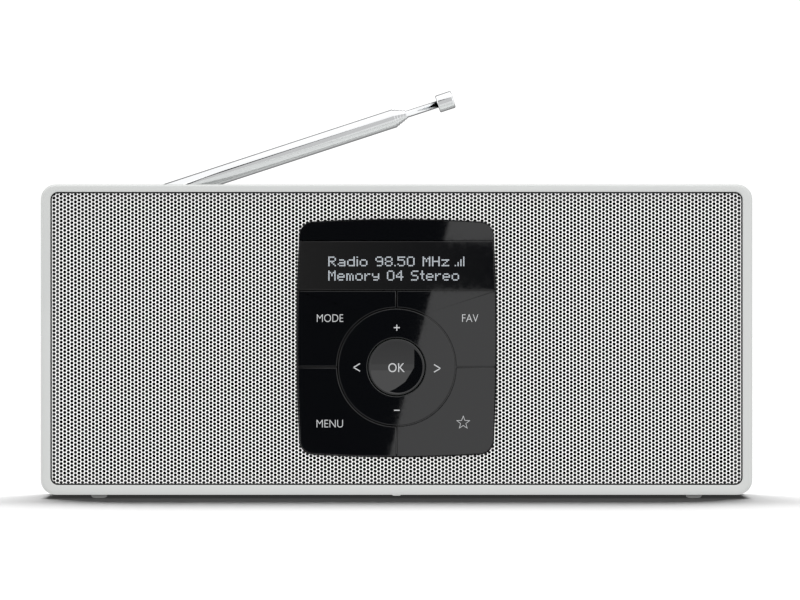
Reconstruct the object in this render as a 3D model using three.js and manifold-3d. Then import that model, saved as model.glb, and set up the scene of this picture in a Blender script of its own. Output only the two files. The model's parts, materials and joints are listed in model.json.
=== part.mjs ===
// Tabletop radio: a shallow silver cabinet with a perforated front, a black key panel in the middle,
// two small speakers, a battery bay at the back and a telescopic aerial on a swivel.
// Millimetres. +X is to the right, +Y to the back, +Z up; the feet stand on Z = 0 and the
// footprint is centred on X = Y = 0.
import * as THREE from "three";
import { mergeVertices } from "three/addons/utils/BufferGeometryUtils.js";
import Module from "manifold-3d";

const wasm = await Module();
wasm.setup();

// ---- Driving dimensions -------------------------------------------------------------------
const WIDTH = 224; // cabinet, left to right
const HEIGHT = 97.7; // cabinet, without its feet
const DEPTH = 50; // cabinet, front to back
const FOOT = 1.1; // height of the feet below the cabinet
const CORNER = 4.8; // radius of the cabinet's four long edges
const RIM = 3.1; // front rim at the sides and below
const RIM_TOP = 2.4; // front rim above
const WALL = 2.2; // moulded walls
const SEAM = -5; // Y of the joint between front housing and rear cover
const LIP = 2; // the rear cover's lip reaches this far into the front housing
const GAP = 0.3; // between pieces that touch in the real thing
const SLIT = 0.35; // around and between the keys

const SIDE = 61; // key panel, width at its corners
const TALL = 72.7; // key panel, height at its corners
const BULGE = 0.85; // how far each side of the panel bows out
const PANEL_R = 4.2; // panel corners
const PANEL_Z = FOOT + HEIGHT / 2 + 0.45; // panel centre
const STRIP = 6.6; // plain strip above the display, from the panel's top
const DISPLAY = 15.6; // height of the display window
const RING_R = 18.75; // rocking ring, outer
const RING_IN = 9.2; // rocking ring, inner
const OK_R = 8.9; // centre button
const RING_DROP = 9.1; // ring centre, below the panel centre
const PRESS = 0.6; // key travel

const SPEAKER_X = 70; // speaker centres
const SPEAKER_R = 32.5; // basket flange
const ROLL = 4.7; // width of the soft roll round the cone

const BAY_W = 109.6; // battery bay, inside: two cells end to end
const BAY_H = 32.6; // two cells, one above the other
const BAY_D = 14.9; // one cell deep

const AERIAL_R = 3; // outer tube
const AERIAL_ROD_R = 1.15; // innermost rod
const AERIAL_TUBES = 5;
const AERIAL_END = 99.4; // far end of the outer tube, from the pivot
const AERIAL_STEP = 0.95; // how much each inner tube stands out
const AERIAL_TIP = 119.1; // end of the knob, from the pivot
const AERIAL_KNOB = 5.25; // length of the knob
const AERIAL_LIFT = THREE.MathUtils.degToRad(18.1); // angle at which the aerial is stored

// ---- Derived places -----------------------------------------------------------------------
const FRONT = -DEPTH / 2;
const BACK = DEPTH / 2;
const BOTTOM = FOOT;
const TOP = FOOT + HEIGHT;
const MID_Z = FOOT + HEIGHT / 2;
const HALF = WIDTH / 2;
const IN_X = HALF - RIM; // front opening
const IN_LOW = BOTTOM + RIM;
const IN_HIGH = TOP - RIM_TOP;
const IN_Z = (IN_LOW + IN_HIGH) / 2;
const IN_H = IN_HIGH - IN_LOW;
const FACE = FRONT + 0.2; // front of the keys, just behind the rim
const GRILLE = [FRONT + 0.8, FRONT + 1.6];
const CLOTH = [GRILLE[1] + GAP, GRILLE[1] + GAP + 0.4];
const LEDGE = [GRILLE[1] + GAP, GRILLE[1] + 2.6];
const BAFFLE = [LEDGE[1] + GAP, LEDGE[1] + GAP + 2];
const CARRIER = [BAFFLE[0] - GAP - 1.2, BAFFLE[0] - GAP];
const SWITCH = BAFFLE[1]; // front of the switch buttons, one key travel behind the plungers
const PCB = [SWITCH + 3.6, SWITCH + 5.2];
const RING_Z = PANEL_Z - RING_DROP;
const STRIP_Z = PANEL_Z + TALL / 2 + BULGE - STRIP;
const KEYS_Z = STRIP_Z - DISPLAY; // top of the keys
const KEY_X = SIDE / 2 - 9.3; // plungers of the four corner keys
const KEY_ZS = [PANEL_Z + 6.3, PANEL_Z - 26.8];
const SWITCH_R = (RING_R + RING_IN) / 2 - 0.175; // plungers of the rocking ring
const SEAT = BACK - WALL; // inner face of the back
const POST_X = HALF - 8; // cover screws
const POST_ZS = [BOTTOM + 9, TOP - 20.8];
const BAY_Z = BOTTOM + 12.6 + BAY_H / 2;
const BAY_Y = SEAT - GAP - BAY_D; // floor of the battery bay
const DOOR_W = BAY_W + 1;
const DOOR_H = BAY_H + 0.8;
const BOARD = [SEAT - 10.8, SEAT - 9.2]; // main board
const PIVOT = new THREE.Vector3(17 - HALF, BACK - 5, TOP - 8.8);
const TROUGH = { x: [8 - HALF, 32], y: BACK - 9.5, z: PIVOT.z - AERIAL_R - 1.5 };
const BOARD_Z = [BAY_Z + BAY_H / 2 + 3.8, TROUGH.z - WALL - 1.7];

// ---- Solids -------------------------------------------------------------------------------
const solid = (geometry) => {
  const g = geometry.clone();
  g.deleteAttribute("normal");
  g.deleteAttribute("uv");
  const m = mergeVertices(g, 1e-4);
  return new wasm.Manifold(
    new wasm.Mesh({
      numProp: 3,
      vertProperties: m.attributes.position.array,
      triVerts: new Uint32Array(m.index.array),
    }),
  );
};
const geometryOf = (s) => {
  const m = s.getMesh();
  const g = new THREE.BufferGeometry();
  g.setAttribute("position", new THREE.BufferAttribute(m.vertProperties, 3));
  g.setIndex(new THREE.BufferAttribute(m.triVerts, 1));
  return g;
};
const join = (...s) => s.reduce((a, b) => a.add(b));
const cut = (s, ...tools) => tools.reduce((a, b) => a.subtract(b), s);
const common = (...s) => s.reduce((a, b) => a.intersect(b));

const box = (x, y, z) =>
  solid(
    new THREE.BoxGeometry(x[1] - x[0], y[1] - y[0], z[1] - z[0]).translate(
      (x[0] + x[1]) / 2,
      (y[0] + y[1]) / 2,
      (z[0] + z[1]) / 2,
    ),
  );

// A rectangle with round corners in the X-Z plane.
function rounded(w, h, r, cx = 0, cz = MID_Z) {
  const s = new THREE.Shape();
  const [x, z] = [w / 2 - r, h / 2 - r];
  const turn = Math.PI / 2;
  s.absarc(cx + x, cz + z, r, 0, turn);
  s.absarc(cx - x, cz + z, r, turn, 2 * turn);
  s.absarc(cx - x, cz - z, r, 2 * turn, 3 * turn);
  s.absarc(cx + x, cz - z, r, 3 * turn, 4 * turn);
  return s;
}

// A flat solid from a shape in the X-Z plane, between two depths; bevel rounds its two outlines.
function slab(shape, y, bevel = 0, curveSegments = 5) {
  const g = new THREE.ExtrudeGeometry(shape, {
    depth: y[1] - y[0] - 2 * bevel,
    bevelEnabled: bevel > 0,
    bevelThickness: bevel,
    bevelSize: bevel,
    bevelOffset: -bevel,
    bevelSegments: 2,
    curveSegments,
  });
  return solid(g.rotateX(Math.PI / 2).translate(0, y[1] - bevel, 0));
}

// The key panel's outline, grown by a margin: four sides that bow out, and round corners.
function panel(margin = 0) {
  const r = PANEL_R + margin;
  const [w, h] = [SIDE / 2 - PANEL_R, TALL / 2 - PANEL_R];
  const ends = [[w, -h], [w, h], [-w, h], [-w, -h], [w, -h]];
  const points = [];
  for (let i = 0; i < 4; i++) {
    const [a, b] = [new THREE.Vector2(...ends[i]), new THREE.Vector2(...ends[i + 1])];
    const run = b.clone().sub(a);
    const half = run.length() / 2;
    const big = (half * half + BULGE * BULGE) / (2 * BULGE);
    const open = Math.asin(half / big);
    const out = new THREE.Vector2(run.y, -run.x).normalize();
    const centre = a.clone().add(b).multiplyScalar(0.5).addScaledVector(out, BULGE - big);
    const facing = Math.atan2(out.y, out.x);
    for (let k = 0; k <= 8; k++) {
      const t = facing - open + (2 * open * k) / 8;
      points.push(
        new THREE.Vector2(Math.cos(t), Math.sin(t)).multiplyScalar(big + r).add(centre),
      );
    }
    const gap = Math.PI / 2 - 2 * open;
    for (let k = 1; k < 5; k++) {
      const t = facing + open + (gap * k) / 5;
      points.push(new THREE.Vector2(Math.cos(t), Math.sin(t)).multiplyScalar(r).add(b));
    }
  }
  return new THREE.Shape(points.map((p) => p.add(new THREE.Vector2(0, PANEL_Z))));
}

// A turned solid about its own Y axis: the profile is a closed loop of [radius, y].
function turned(profile, segments = 32) {
  const area = profile.reduce((sum, [r, y], i) => {
    const [r2, y2] = profile[(i + 1) % profile.length];
    return sum + r * y2 - r2 * y;
  }, 0);
  const loop = area > 0 ? [...profile] : [...profile].reverse();
  return new THREE.LatheGeometry(
    [...loop, loop[0]].map(([r, y]) => new THREE.Vector2(r, y)),
    segments,
  );
}
const spun = (profile, x, z, segments) => solid(turned(profile, segments).translate(x, 0, z));
const rod = (r, y, x, z, segments = 16) =>
  spun([[0, y[0]], [r, y[0]], [r, y[1]], [0, y[1]]], x, z, segments);
const ring = (r, y, x, z, segments = 32) =>
  spun([[r[0], y[0]], [r[1], y[0]], [r[1], y[1]], [r[0], y[1]]], x, z, segments);

// A round lead along a smooth curve through the given points.
const lead = (r, points) =>
  solid(
    new THREE.ExtrudeGeometry(
      new THREE.Shape(
        [0, 1, 2, 3, 4, 5].map((k) =>
          new THREE.Vector2(Math.cos((k * Math.PI) / 3), Math.sin((k * Math.PI) / 3)).multiplyScalar(r),
        ),
      ),
      {
        steps: 12,
        extrudePath: new THREE.CatmullRomCurve3(points.map((p) => new THREE.Vector3(...p))),
      },
    ),
  );

const group = new THREE.Group();
const looks = {
  silver: { color: 0xd4d6d5, roughness: 0.38, metalness: 0.1 },
  white: { color: 0xf4f4f2, roughness: 0.4, metalness: 0.2 },
  cloth: { color: 0x0c0c0d, roughness: 0.95, metalness: 0 },
  black: { color: 0x101113, roughness: 0.6, metalness: 0 },
  gloss: { color: 0x0c0d0f, roughness: 0.08, metalness: 0 },
  glass: { color: 0x1b1c1d, roughness: 0.05, metalness: 0 },
  rubber: { color: 0xa9aaaa, roughness: 0.8, metalness: 0 },
  silicone: { color: 0x232426, roughness: 0.7, metalness: 0 },
  board: { color: 0x1f5a35, roughness: 0.5, metalness: 0 },
  steel: { color: 0xb8bbbd, roughness: 0.35, metalness: 0.9 },
  chrome: { color: 0xe8eaec, roughness: 0.08, metalness: 1 },
  paper: { color: 0x1c1c1e, roughness: 0.9, metalness: 0 },
  aluminium: { color: 0xc2c5c7, roughness: 0.45, metalness: 0.9 },
  wire: { color: 0x8c1f1c, roughness: 0.6, metalness: 0 },
  ribbon: { color: 0xb4b6b8, roughness: 0.6, metalness: 0 },
};
function add(name, geometry, look, parent = group) {
  const mesh = new THREE.Mesh(geometry, new THREE.MeshStandardMaterial(looks[look]));
  mesh.name = name;
  parent.add(mesh);
  return mesh;
}
const place = (name, s, look) => add(name, geometryOf(s), look);
const sides = [["left", -1], ["right", 1]];

// ---- Cabinet ------------------------------------------------------------------------------
const EDGE = 0.9; // rounding of the cabinet's front and back outlines
const cabinet = slab(rounded(WIDTH, HEIGHT, CORNER), [FRONT, BACK], EDGE);
const opening = (less, r) => rounded(2 * IN_X - less, IN_H - less, r, 0, IN_Z);
const behind = (y) => box([-WIDTH, WIDTH], [y, DEPTH], [-HEIGHT, 2 * HEIGHT]);
const posts = sides.flatMap(([, s]) => POST_ZS.map((z) => [s * POST_X, z]));
const feet = sides.flatMap(([side, s]) =>
  [["front", FRONT + 5.5], ["rear", BACK - 6.5]].map(([end, y]) => ({
    name: "foot_" + end + "_" + side,
    x: s * (HALF - 18.2),
    y,
  })),
);
const FOOT_R = 2.5;
const socket = ({ x, y }) =>
  solid(new THREE.CylinderGeometry(FOOT_R + GAP, FOOT_R + GAP, 1.1 + 2 * GAP, 16)
    .rotateX(Math.PI / 2)
    .translate(x, y, BOTTOM + 0.55));

const POST_END = SEAM - LIP;
const frontPosts = posts.map(([x, z]) =>
  cut(
    join(
      rod(4, [BAFFLE[1] + GAP, POST_END - GAP], x, z, 16),
      box([Math.min(x, Math.sign(x) * (IN_X + 1)), Math.max(x, Math.sign(x) * (IN_X + 1))],
        [BAFFLE[1] + GAP, POST_END - GAP], [z - 1.2, z + 1.2]),
    ),
    rod(1.35, [POST_END - 8, SEAM + 1], x, z, 12),
  ),
);
place(
  "front_housing",
  cut(
    join(
      cut(cabinet, behind(SEAM), slab(opening(0, 2.4), [FRONT - 1, SEAM + 1])),
      cut(
        slab(opening(-1, 2.6), LEDGE),
        slab(opening(5, 2), [LEDGE[0] - 1, LEDGE[1] + 1]),
      ),
      ...frontPosts,
      box([-1.3, 1.3], [FRONT + 1.2, FRONT + 4], [BOTTOM - 0.3, BOTTOM + 1]),
    ),
    ...feet.filter(({ y }) => y < SEAM).map(socket),
  ),
  "silver",
);

// The rear cover is a tray with a trough for the aerial along its upper back edge.
const [inner, shell] = [WIDTH - 2 * WALL, HEIGHT - 2 * WALL];
const trough = (grow) =>
  box(
    [TROUGH.x[0] - grow, TROUGH.x[1] + grow],
    [TROUGH.y - grow, BACK + 1],
    [TROUGH.z - grow, TOP + 1],
  );
const jackAt = { x: 38, z: BOARD_Z[0] + 10, r: 3 };
const powerAt = { x: 22, z: BOARD_Z[0] + 10, r: 4.2 };
const LATCH = [8, 3.2]; // half width and height of the door's latch tab
const tab = (grow) => [
  [-LATCH[0] - grow, LATCH[0] + grow],
  [BAY_Z + DOOR_H / 2 - 1, BAY_Z + DOOR_H / 2 + LATCH[1] + grow],
];
const stand = (x, z) => rod(2.4, [BOARD[1] + GAP, SEAT + 1], x, z, 12);
const screwHead = BACK - 13; // outer face of the sunk screw heads
place(
  "rear_cover",
  cut(
    join(
      cut(
        cut(cabinet, box([-WIDTH, WIDTH], [-DEPTH, SEAM + GAP], [-HEIGHT, 2 * HEIGHT])),
        slab(rounded(inner, shell, CORNER - WALL), [SEAM - 1, SEAT]),
      ),
      common(trough(WALL), slab(rounded(WIDTH - 1, HEIGHT - 1, CORNER), [0, BACK - 1])),
      cut(
        join(
          slab(opening(2 * GAP, 2.1), [POST_END, SEAM + 1]),
          slab(rounded(inner + 1, shell + 1, CORNER - WALL), [SEAM + GAP, SEAM + 1.5]),
        ),
        slab(opening(2 * GAP + 2, 1.5), [POST_END - 1, SEAM + 2]),
      ),
      ...posts.map(([x, z]) => rod(4.4, [POST_END, SEAT + 1], x, z, 16)),
      ...sides.flatMap(([, s]) =>
        [BOARD_Z[0] + 3, BOARD_Z[1] - 3].map((z) => stand(s * 46, z))),
    ),
    trough(0),
    rod(2.3 + GAP, [TROUGH.y - 5, TROUGH.y + 5], PIVOT.x, PIVOT.z),
    slab(rounded(DOOR_W + 2 * GAP, DOOR_H + 2 * GAP, 1.4, 0, BAY_Z), [SEAT - 1, BACK + 1]),
    box(tab(GAP)[0], [SEAT - 1, BACK + 1], tab(GAP)[1]),
    rod(jackAt.r + GAP, [SEAT - 1, BACK + 1], jackAt.x, jackAt.z),
    rod(powerAt.r + GAP, [SEAT - 1, BACK + 1], powerAt.x, powerAt.z),
    ...posts.flatMap(([x, z]) => [
      rod(1.7, [POST_END - 1, BACK], x, z, 12),
      rod(3.2, [screwHead - 2, BACK + 1], x, z, 16),
    ]),
    ...feet.filter(({ y }) => y > SEAM).map(socket),
  ),
  "silver",
);
posts.forEach(([x, z], i) =>
  place(
    "cover_screw_" + ["left_low", "left_high", "right_low", "right_high"][i],
    cut(
      join(
        rod(2.8, [screwHead - 1.6, screwHead], x, z, 16),
        rod(1.25, [POST_END - 7.5, screwHead - 1], x, z, 10),
      ),
      box([x - 1.5, x + 1.5], [screwHead - 0.7, screwHead + 1], [z - 0.3, z + 0.3]),
      box([x - 0.3, x + 0.3], [screwHead - 0.7, screwHead + 1], [z - 1.5, z + 1.5]),
    ),
    "steel",
  ),
);
for (const { name, x, y } of feet) {
  const dome = turned([[0, 0], [1.5, 0], [2.1, 0.25], [FOOT_R, 0.8], [FOOT_R, 1.9], [0, 1.9]], 16);
  add(name, dome.rotateX(Math.PI / 2).translate(x, y, 0), "rubber");
}

// ---- Front: grille, cloth and baffle --------------------------------------------------------
const NECK = SPEAKER_R - 4.6; // outer edge of the roll, inside the speaker flange
const CONE_R = NECK - ROLL;
const fromPanel = (margin) => slab(panel(margin), [FRONT - 1, BAFFLE[1] + 1]);
place("speaker_grille", cut(slab(opening(0.8, 2), GRILLE), fromPanel(SLIT)), "white");
place("grille_cloth", cut(slab(opening(5.6, 1.8), CLOTH), fromPanel(0.8)), "cloth");
const HATCH = [SIDE - 5.8, STRIP_Z + 0.6 - (PANEL_Z - TALL / 2 + 1.8)]; // baffle opening behind the panel
const hatchZ = PANEL_Z - TALL / 2 + 1.8 + HATCH[1] / 2;
place(
  "speaker_baffle",
  cut(
    slab(opening(0.6, 2.2), BAFFLE),
    slab(rounded(...HATCH, 2, 0, hatchZ), [BAFFLE[0] - 1, BAFFLE[1] + 1]),
    ...sides.map(([, s]) =>
      rod(NECK + 0.6, [BAFFLE[0] - 1, BAFFLE[1] + 1], s * SPEAKER_X, IN_Z, 32)),
  ),
  "black",
);

// ---- Key panel ------------------------------------------------------------------------------
const ANY = [-WIDTH, WIDTH];
const KEY_T = 2; // thickness of keys and window
const plungers = [
  ...KEY_ZS.flatMap((z) => sides.map(([, s]) => [s * KEY_X, z])),
  ...[[1, 0], [-1, 0], [0, 1], [0, -1]].map(([x, z]) => [x * SWITCH_R, RING_Z + z * SWITCH_R]),
];
const pin = (x, z) => rod(1.5, [FACE + 1, SWITCH - PRESS - 0.15], x, z, 12);
const module = {
  x: [3.5 - SIDE / 2, SIDE / 2 - 3.5],
  z: [KEYS_Z + 0.8, STRIP_Z - 0.8],
  y: [FACE + 1.8, PCB[0] - GAP],
};
const studs = sides.flatMap(([, s]) => [6.4, -8].map((dz) => [s * (SIDE / 2 - 5.9), RING_Z + dz]));
place(
  "panel_carrier",
  cut(
    join(
      slab(panel(-0.6), CARRIER),
      common(
        slab(panel(), [FACE, CARRIER[1]]),
        box(ANY, ANY, [STRIP_Z + 0.15, 2 * HEIGHT]),
      ),
      ...studs.map(([x, z]) => rod(1.7, [CARRIER[1] - 0.5, PCB[0] - GAP], x, z, 12)),
    ),
    box([module.x[0] - GAP, module.x[1] + GAP], [CARRIER[0] - 0.01, BACK],
      [module.z[0] - GAP, module.z[1] + GAP]),
    rod(11.9, [CARRIER[0] - 1, CARRIER[1] + 1], 0, RING_Z, 32),
    ...plungers.map(([x, z]) => rod(2, [CARRIER[0] - 1, CARRIER[1] + 1], x, z, 12)),
  ),
  "gloss",
);
place(
  "display_window",
  common(
    slab(panel(), [FACE, FACE + 1.5]),
    box(ANY, ANY, [KEYS_Z + 0.15, STRIP_Z - 0.15]),
  ),
  "glass",
);
place("display_module", box(module.x, module.y, module.z), "silicone");

const face = cut(slab(panel(), [FACE, FACE + KEY_T]), rod(RING_R, ANY, 0, RING_Z, 48));
["mode_key", "favourite_key", "menu_key", "star_key"].forEach((name, i) => {
  const [x, z] = plungers[i];
  place(
    name,
    join(
      common(
        face,
        box(
          x < 0 ? [-WIDTH, -SLIT / 2] : [SLIT / 2, WIDTH],
          ANY,
          i < 2 ? [RING_Z + SLIT / 2, KEYS_Z - 0.15] : [0, RING_Z - SLIT / 2],
        ),
      ),
      pin(x, z),
    ),
    "gloss",
  );
});
place(
  "rocker_collar",
  ring([9.7, 11.6], [CARRIER[0] - 0.6, CARRIER[1] - 0.1], 0, RING_Z, 32),
  "silicone",
);
place(
  "rocker_ring",
  join(
    ring([RING_IN, RING_R - SLIT], [FACE, FACE + 1.7], 0, RING_Z, 48),
    ...plungers.slice(4).map(([x, z]) => pin(x, z)),
  ),
  "gloss",
);
// The centre button is dished like a shallow bowl.
const DISH = 1.1;
const bowl = [8.3, 6.5, 4.5, 2.5, 0].map((r) => [r, FACE + DISH * (1 - (r / 8.3) ** 2)]);
place(
  "ok_button",
  join(
    spun([...bowl, [0, FACE + KEY_T], [OK_R, FACE + KEY_T], [OK_R, FACE + 0.15], [8.6, FACE]], 0, RING_Z, 40),
    pin(0, RING_Z),
  ),
  "gloss",
);
const tact = (x, z) =>
  join(
    box([x - 3, x + 3], [SWITCH + GAP, PCB[0] + 0.5], [z - 3, z + 3]),
    rod(1.6, [SWITCH, SWITCH + 1], x, z, 12),
  );
place(
  "control_board",
  join(
    box([4.1 - SIDE / 2, SIDE / 2 - 4.1], PCB, [hatchZ - HATCH[1] / 2 + 1, hatchZ + HATCH[1] / 2 - 1]),
    ...[...plungers, [0, RING_Z]].map(([x, z]) => tact(x, z)),
  ),
  "board",
);

// ---- Speakers -------------------------------------------------------------------------------
const SEAT_Y = BAFFLE[1] + GAP; // front of the basket flange
const CUP = SEAT_Y + 11; // back of the basket
const MAGNET_END = BAY_Y - 3.6; // the magnets stop short of the battery bay
const TAG = SPEAKER_R - 7.5; // soldering tag and lead, from the speaker centre
for (const [side, s] of sides) {
  const x = s * SPEAKER_X;
  const at = (profile, segments) => spun(profile, x, IN_Z, segments);
  const tagX = x - s * TAG;
  place(
    "speaker_basket_" + side,
    join(
      at([
        [NECK + 0.3, SEAT_Y], [SPEAKER_R, SEAT_Y], [SPEAKER_R, SEAT_Y + 1.4],
        [NECK + 1.7, SEAT_Y + 1.4], [NECK - 9.5, CUP - 1.2], [NECK - 9.5, CUP], [6.6, CUP],
        [6.6, CUP - 1.2], [NECK - 10.7, CUP - 1.2], [NECK + 0.3, SEAT_Y + 1.2],
      ], 32),
      box([tagX - 1.2, tagX + 1.2], [SEAT_Y + 2, SEAT_Y + 9], [IN_Z + 5, IN_Z + 9]),
    ),
    "steel",
  );
  place(
    "speaker_magnet_" + side,
    at([
      [0, CUP - 4], [4.6, CUP - 4], [4.6, CUP + 6.5], [6.6, CUP + 6.5], [6.6, CUP + GAP],
      [16.5, CUP + GAP], [16.5, MAGNET_END - 0.6], [15.9, MAGNET_END], [0, MAGNET_END],
    ], 24),
    "steel",
  );
  place(
    "speaker_cone_" + side,
    at([
      [CONE_R, SEAT_Y + 0.2], [CONE_R, SEAT_Y + 0.7], [14, SEAT_Y + 4], [5.8, SEAT_Y + 6.2],
      [5.8, CUP + 2.5], [5.2, CUP + 2.5], [5.2, SEAT_Y + 5.6], [13.7, SEAT_Y + 3.5],
    ], 32),
    "paper",
  );
  const roll = [0, 1, 2, 3, 4].map((k) => (k * Math.PI) / 4);
  const [mid, rollR] = [(CONE_R + NECK) / 2 + 0.15, ROLL / 2 - 0.15];
  const arc = (r) => roll.map((t) => [mid + r * Math.cos(t), SEAT_Y + 0.4 - r * Math.sin(t)]);
  place("speaker_surround_" + side, at([...arc(rollR), ...arc(rollR - 0.5).reverse()], 32), "silicone");
  place(
    "speaker_cap_" + side,
    at([
      [0, SEAT_Y + 1.7], [3.4, SEAT_Y + 2.2], [6.2, SEAT_Y + 3.6], [7.6, SEAT_Y + 4.9],
      [7.1, SEAT_Y + 5], [5.9, SEAT_Y + 4.1], [3.2, SEAT_Y + 2.7], [0, SEAT_Y + 2.2],
    ], 24),
    "paper",
  );
}

// ---- Battery bay ----------------------------------------------------------------------------
const bay = (grow, y) =>
  box([-BAY_W / 2 - grow, BAY_W / 2 + grow], y, [BAY_Z - BAY_H / 2 - grow, BAY_Z + BAY_H / 2 + grow]);
place(
  "battery_tray",
  join(
    cut(
      join(bay(1.2, [BAY_Y - 1.2, SEAT - GAP]), bay(2.4, [SEAT - GAP - 1.2, SEAT - GAP])),
      bay(0, [BAY_Y, BACK]),
    ),
    box([-BAY_W / 2 - 1, BAY_W / 2 + 1], [BAY_Y - 1, BAY_Y + 2.2], [BAY_Z - 0.6, BAY_Z + 0.6]),
  ),
  "black",
);
place(
  "battery_door",
  join(
    slab(rounded(DOOR_W, DOOR_H, 1.2, 0, BAY_Z), [SEAT + 0.1, BACK]),
    box(tab(0)[0], [SEAT + 0.1, BACK], tab(0)[1]),
  ),
  "silver",
);
// Each contact plate has a coned spring for one cell's base and a dimple for the other's button.
for (const [side, s] of sides) {
  const x = s * (BAY_W / 2 - GAP);
  const cellY = BAY_Y + BAY_D / 2 + 0.4;
  const turns = 3;
  const coil = [...Array(turns * 8 + 1).keys()].map((k) => {
    const t = (k * Math.PI) / 4;
    const r = 5 - (2 * k) / (turns * 8);
    return [
      x - s * (0.4 + (k * 5.4) / (turns * 8)),
      cellY + r * Math.sin(t),
      BAY_Z + s * 8.3 + r * Math.cos(t),
    ];
  });
  const spring = solid(
    new THREE.ExtrudeGeometry(
      new THREE.Shape([[0.35, 0], [0, 0.35], [-0.35, 0], [0, -0.35]].map((p) => new THREE.Vector2(...p))),
      {
        steps: turns * 8,
        extrudePath: new THREE.CatmullRomCurve3(coil.map((p) => new THREE.Vector3(...p))),
      },
    ),
  );
  place(
    "battery_contact_" + side,
    join(
      box([Math.min(x, x - s * 0.5), Math.max(x, x - s * 0.5)], [BAY_Y + 2.6, BAY_Y + BAY_D - 0.6],
        [BAY_Z - BAY_H / 2 + 1, BAY_Z + BAY_H / 2 - 1]),
      solid(new THREE.CylinderGeometry(3, 3.6, 1, 16)
        .rotateZ((s * Math.PI) / 2)
        .translate(x - s * 0.9, cellY, BAY_Z - s * 8.3)),
      spring,
    ),
    "steel",
  );
}

// ---- Electronics ----------------------------------------------------------------------------
const onBoard = BOARD[0] - GAP; // back of the parts in front of the main board
place("main_board", box([-50, 50], BOARD, BOARD_Z), "board");
const can = [[-42, -14], [BOARD_Z[0] + 5, BOARD_Z[0] + 25]];
place(
  "tuner_shield",
  cut(
    box(can[0], [onBoard - 5, onBoard], can[1]),
    box([can[0][0] + 0.5, can[0][1] - 0.5], [onBoard - 4.5, onBoard + 1], [can[1][0] + 0.5, can[1][1] - 0.5]),
  ),
  "steel",
);
const finsZ = [BOARD_Z[0] + 7, BOARD_Z[0] + 23];
place(
  "amplifier_heat_sink",
  join(
    box([6, 28], [onBoard - 2, onBoard], finsZ),
    ...[0, 1, 2, 3, 4, 5].map((k) => box([6 + 4.1 * k, 7.5 + 4.1 * k], [onBoard - 8, onBoard - 1], finsZ)),
  ),
  "aluminium",
);
place("smoothing_capacitor", rod(5, [onBoard - 12, onBoard], 38, BOARD_Z[0] + 15, 24), "black");
place(
  "headphone_socket",
  cut(
    join(
      box([jackAt.x - 5, jackAt.x + 5], [BOARD[1] + GAP, SEAT - GAP], [jackAt.z - 4, jackAt.z + 4]),
      rod(jackAt.r, [SEAT - 1, BACK - 0.3], jackAt.x, jackAt.z),
    ),
    rod(1.8, [BACK - 10, BACK + 1], jackAt.x, jackAt.z),
  ),
  "black",
);
place(
  "power_socket",
  join(
    cut(
      join(
        box([powerAt.x - 5, powerAt.x + 5], [BOARD[1] + GAP, SEAT - GAP], [powerAt.z - 5, powerAt.z + 5]),
        rod(powerAt.r, [SEAT - 1, BACK - 0.3], powerAt.x, powerAt.z),
      ),
      rod(2.9, [BACK - 9, BACK + 1], powerAt.x, powerAt.z),
    ),
    rod(1, [BACK - 10, BACK - 1.5], powerAt.x, powerAt.z, 12),
  ),
  "black",
);
// The flat ribbon runs back from the control board, rises, and meets the main board.
const RIBBON_T = 0.6;
const run = [[PCB[1] + GAP, PANEL_Z + 1], [-3, PANEL_Z + 1], [2, PANEL_Z + 13], [onBoard, PANEL_Z + 13]];
const ribbon = new THREE.Shape();
ribbon.moveTo(...run[0]);
ribbon.bezierCurveTo(run[1][0], run[1][1], run[1][0], run[2][1], ...run[3]);
ribbon.lineTo(run[3][0], run[3][1] + RIBBON_T);
ribbon.bezierCurveTo(run[1][0] - RIBBON_T, run[2][1] + RIBBON_T, run[1][0] - RIBBON_T,
  run[1][1] + RIBBON_T, run[0][0], run[0][1] + RIBBON_T);
place(
  "ribbon_cable",
  solid(
    new THREE.ExtrudeGeometry(ribbon, { depth: 12, bevelEnabled: false, curveSegments: 12 })
      .applyMatrix4(new THREE.Matrix4().set(0, 0, 1, -8, 1, 0, 0, 0, 0, 1, 0, 0, 0, 0, 0, 1)),
  ),
  "ribbon",
);
for (const [side, s] of sides) {
  const x = s * (SPEAKER_X - TAG);
  place(
    "speaker_lead_" + side,
    lead(0.9, [
      [x, SEAT_Y + 9.3, IN_Z + 7],
      [x - s * 1, SEAT_Y + 14, IN_Z + 7.4],
      [x - s * 2, SEAT_Y + 21, IN_Z + 9],
      [x, onBoard - 4, IN_Z + 11],
      [x, onBoard, IN_Z + 11],
    ]),
    "wire",
  );
}
place(
  "aerial_lead",
  lead(0.7, [
    [-40, onBoard, BOARD_Z[1] - 2],
    [-42, onBoard - 3, BOARD_Z[1] - 2],
    [-60, onBoard - 3.6, BOARD_Z[1] + 2],
    [-84, TROUGH.y - 8, PIVOT.z - 3],
    [PIVOT.x, TROUGH.y - 7.4, PIVOT.z],
    [PIVOT.x, TROUGH.y - 4.3, PIVOT.z],
  ]),
  "wire",
);

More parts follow.
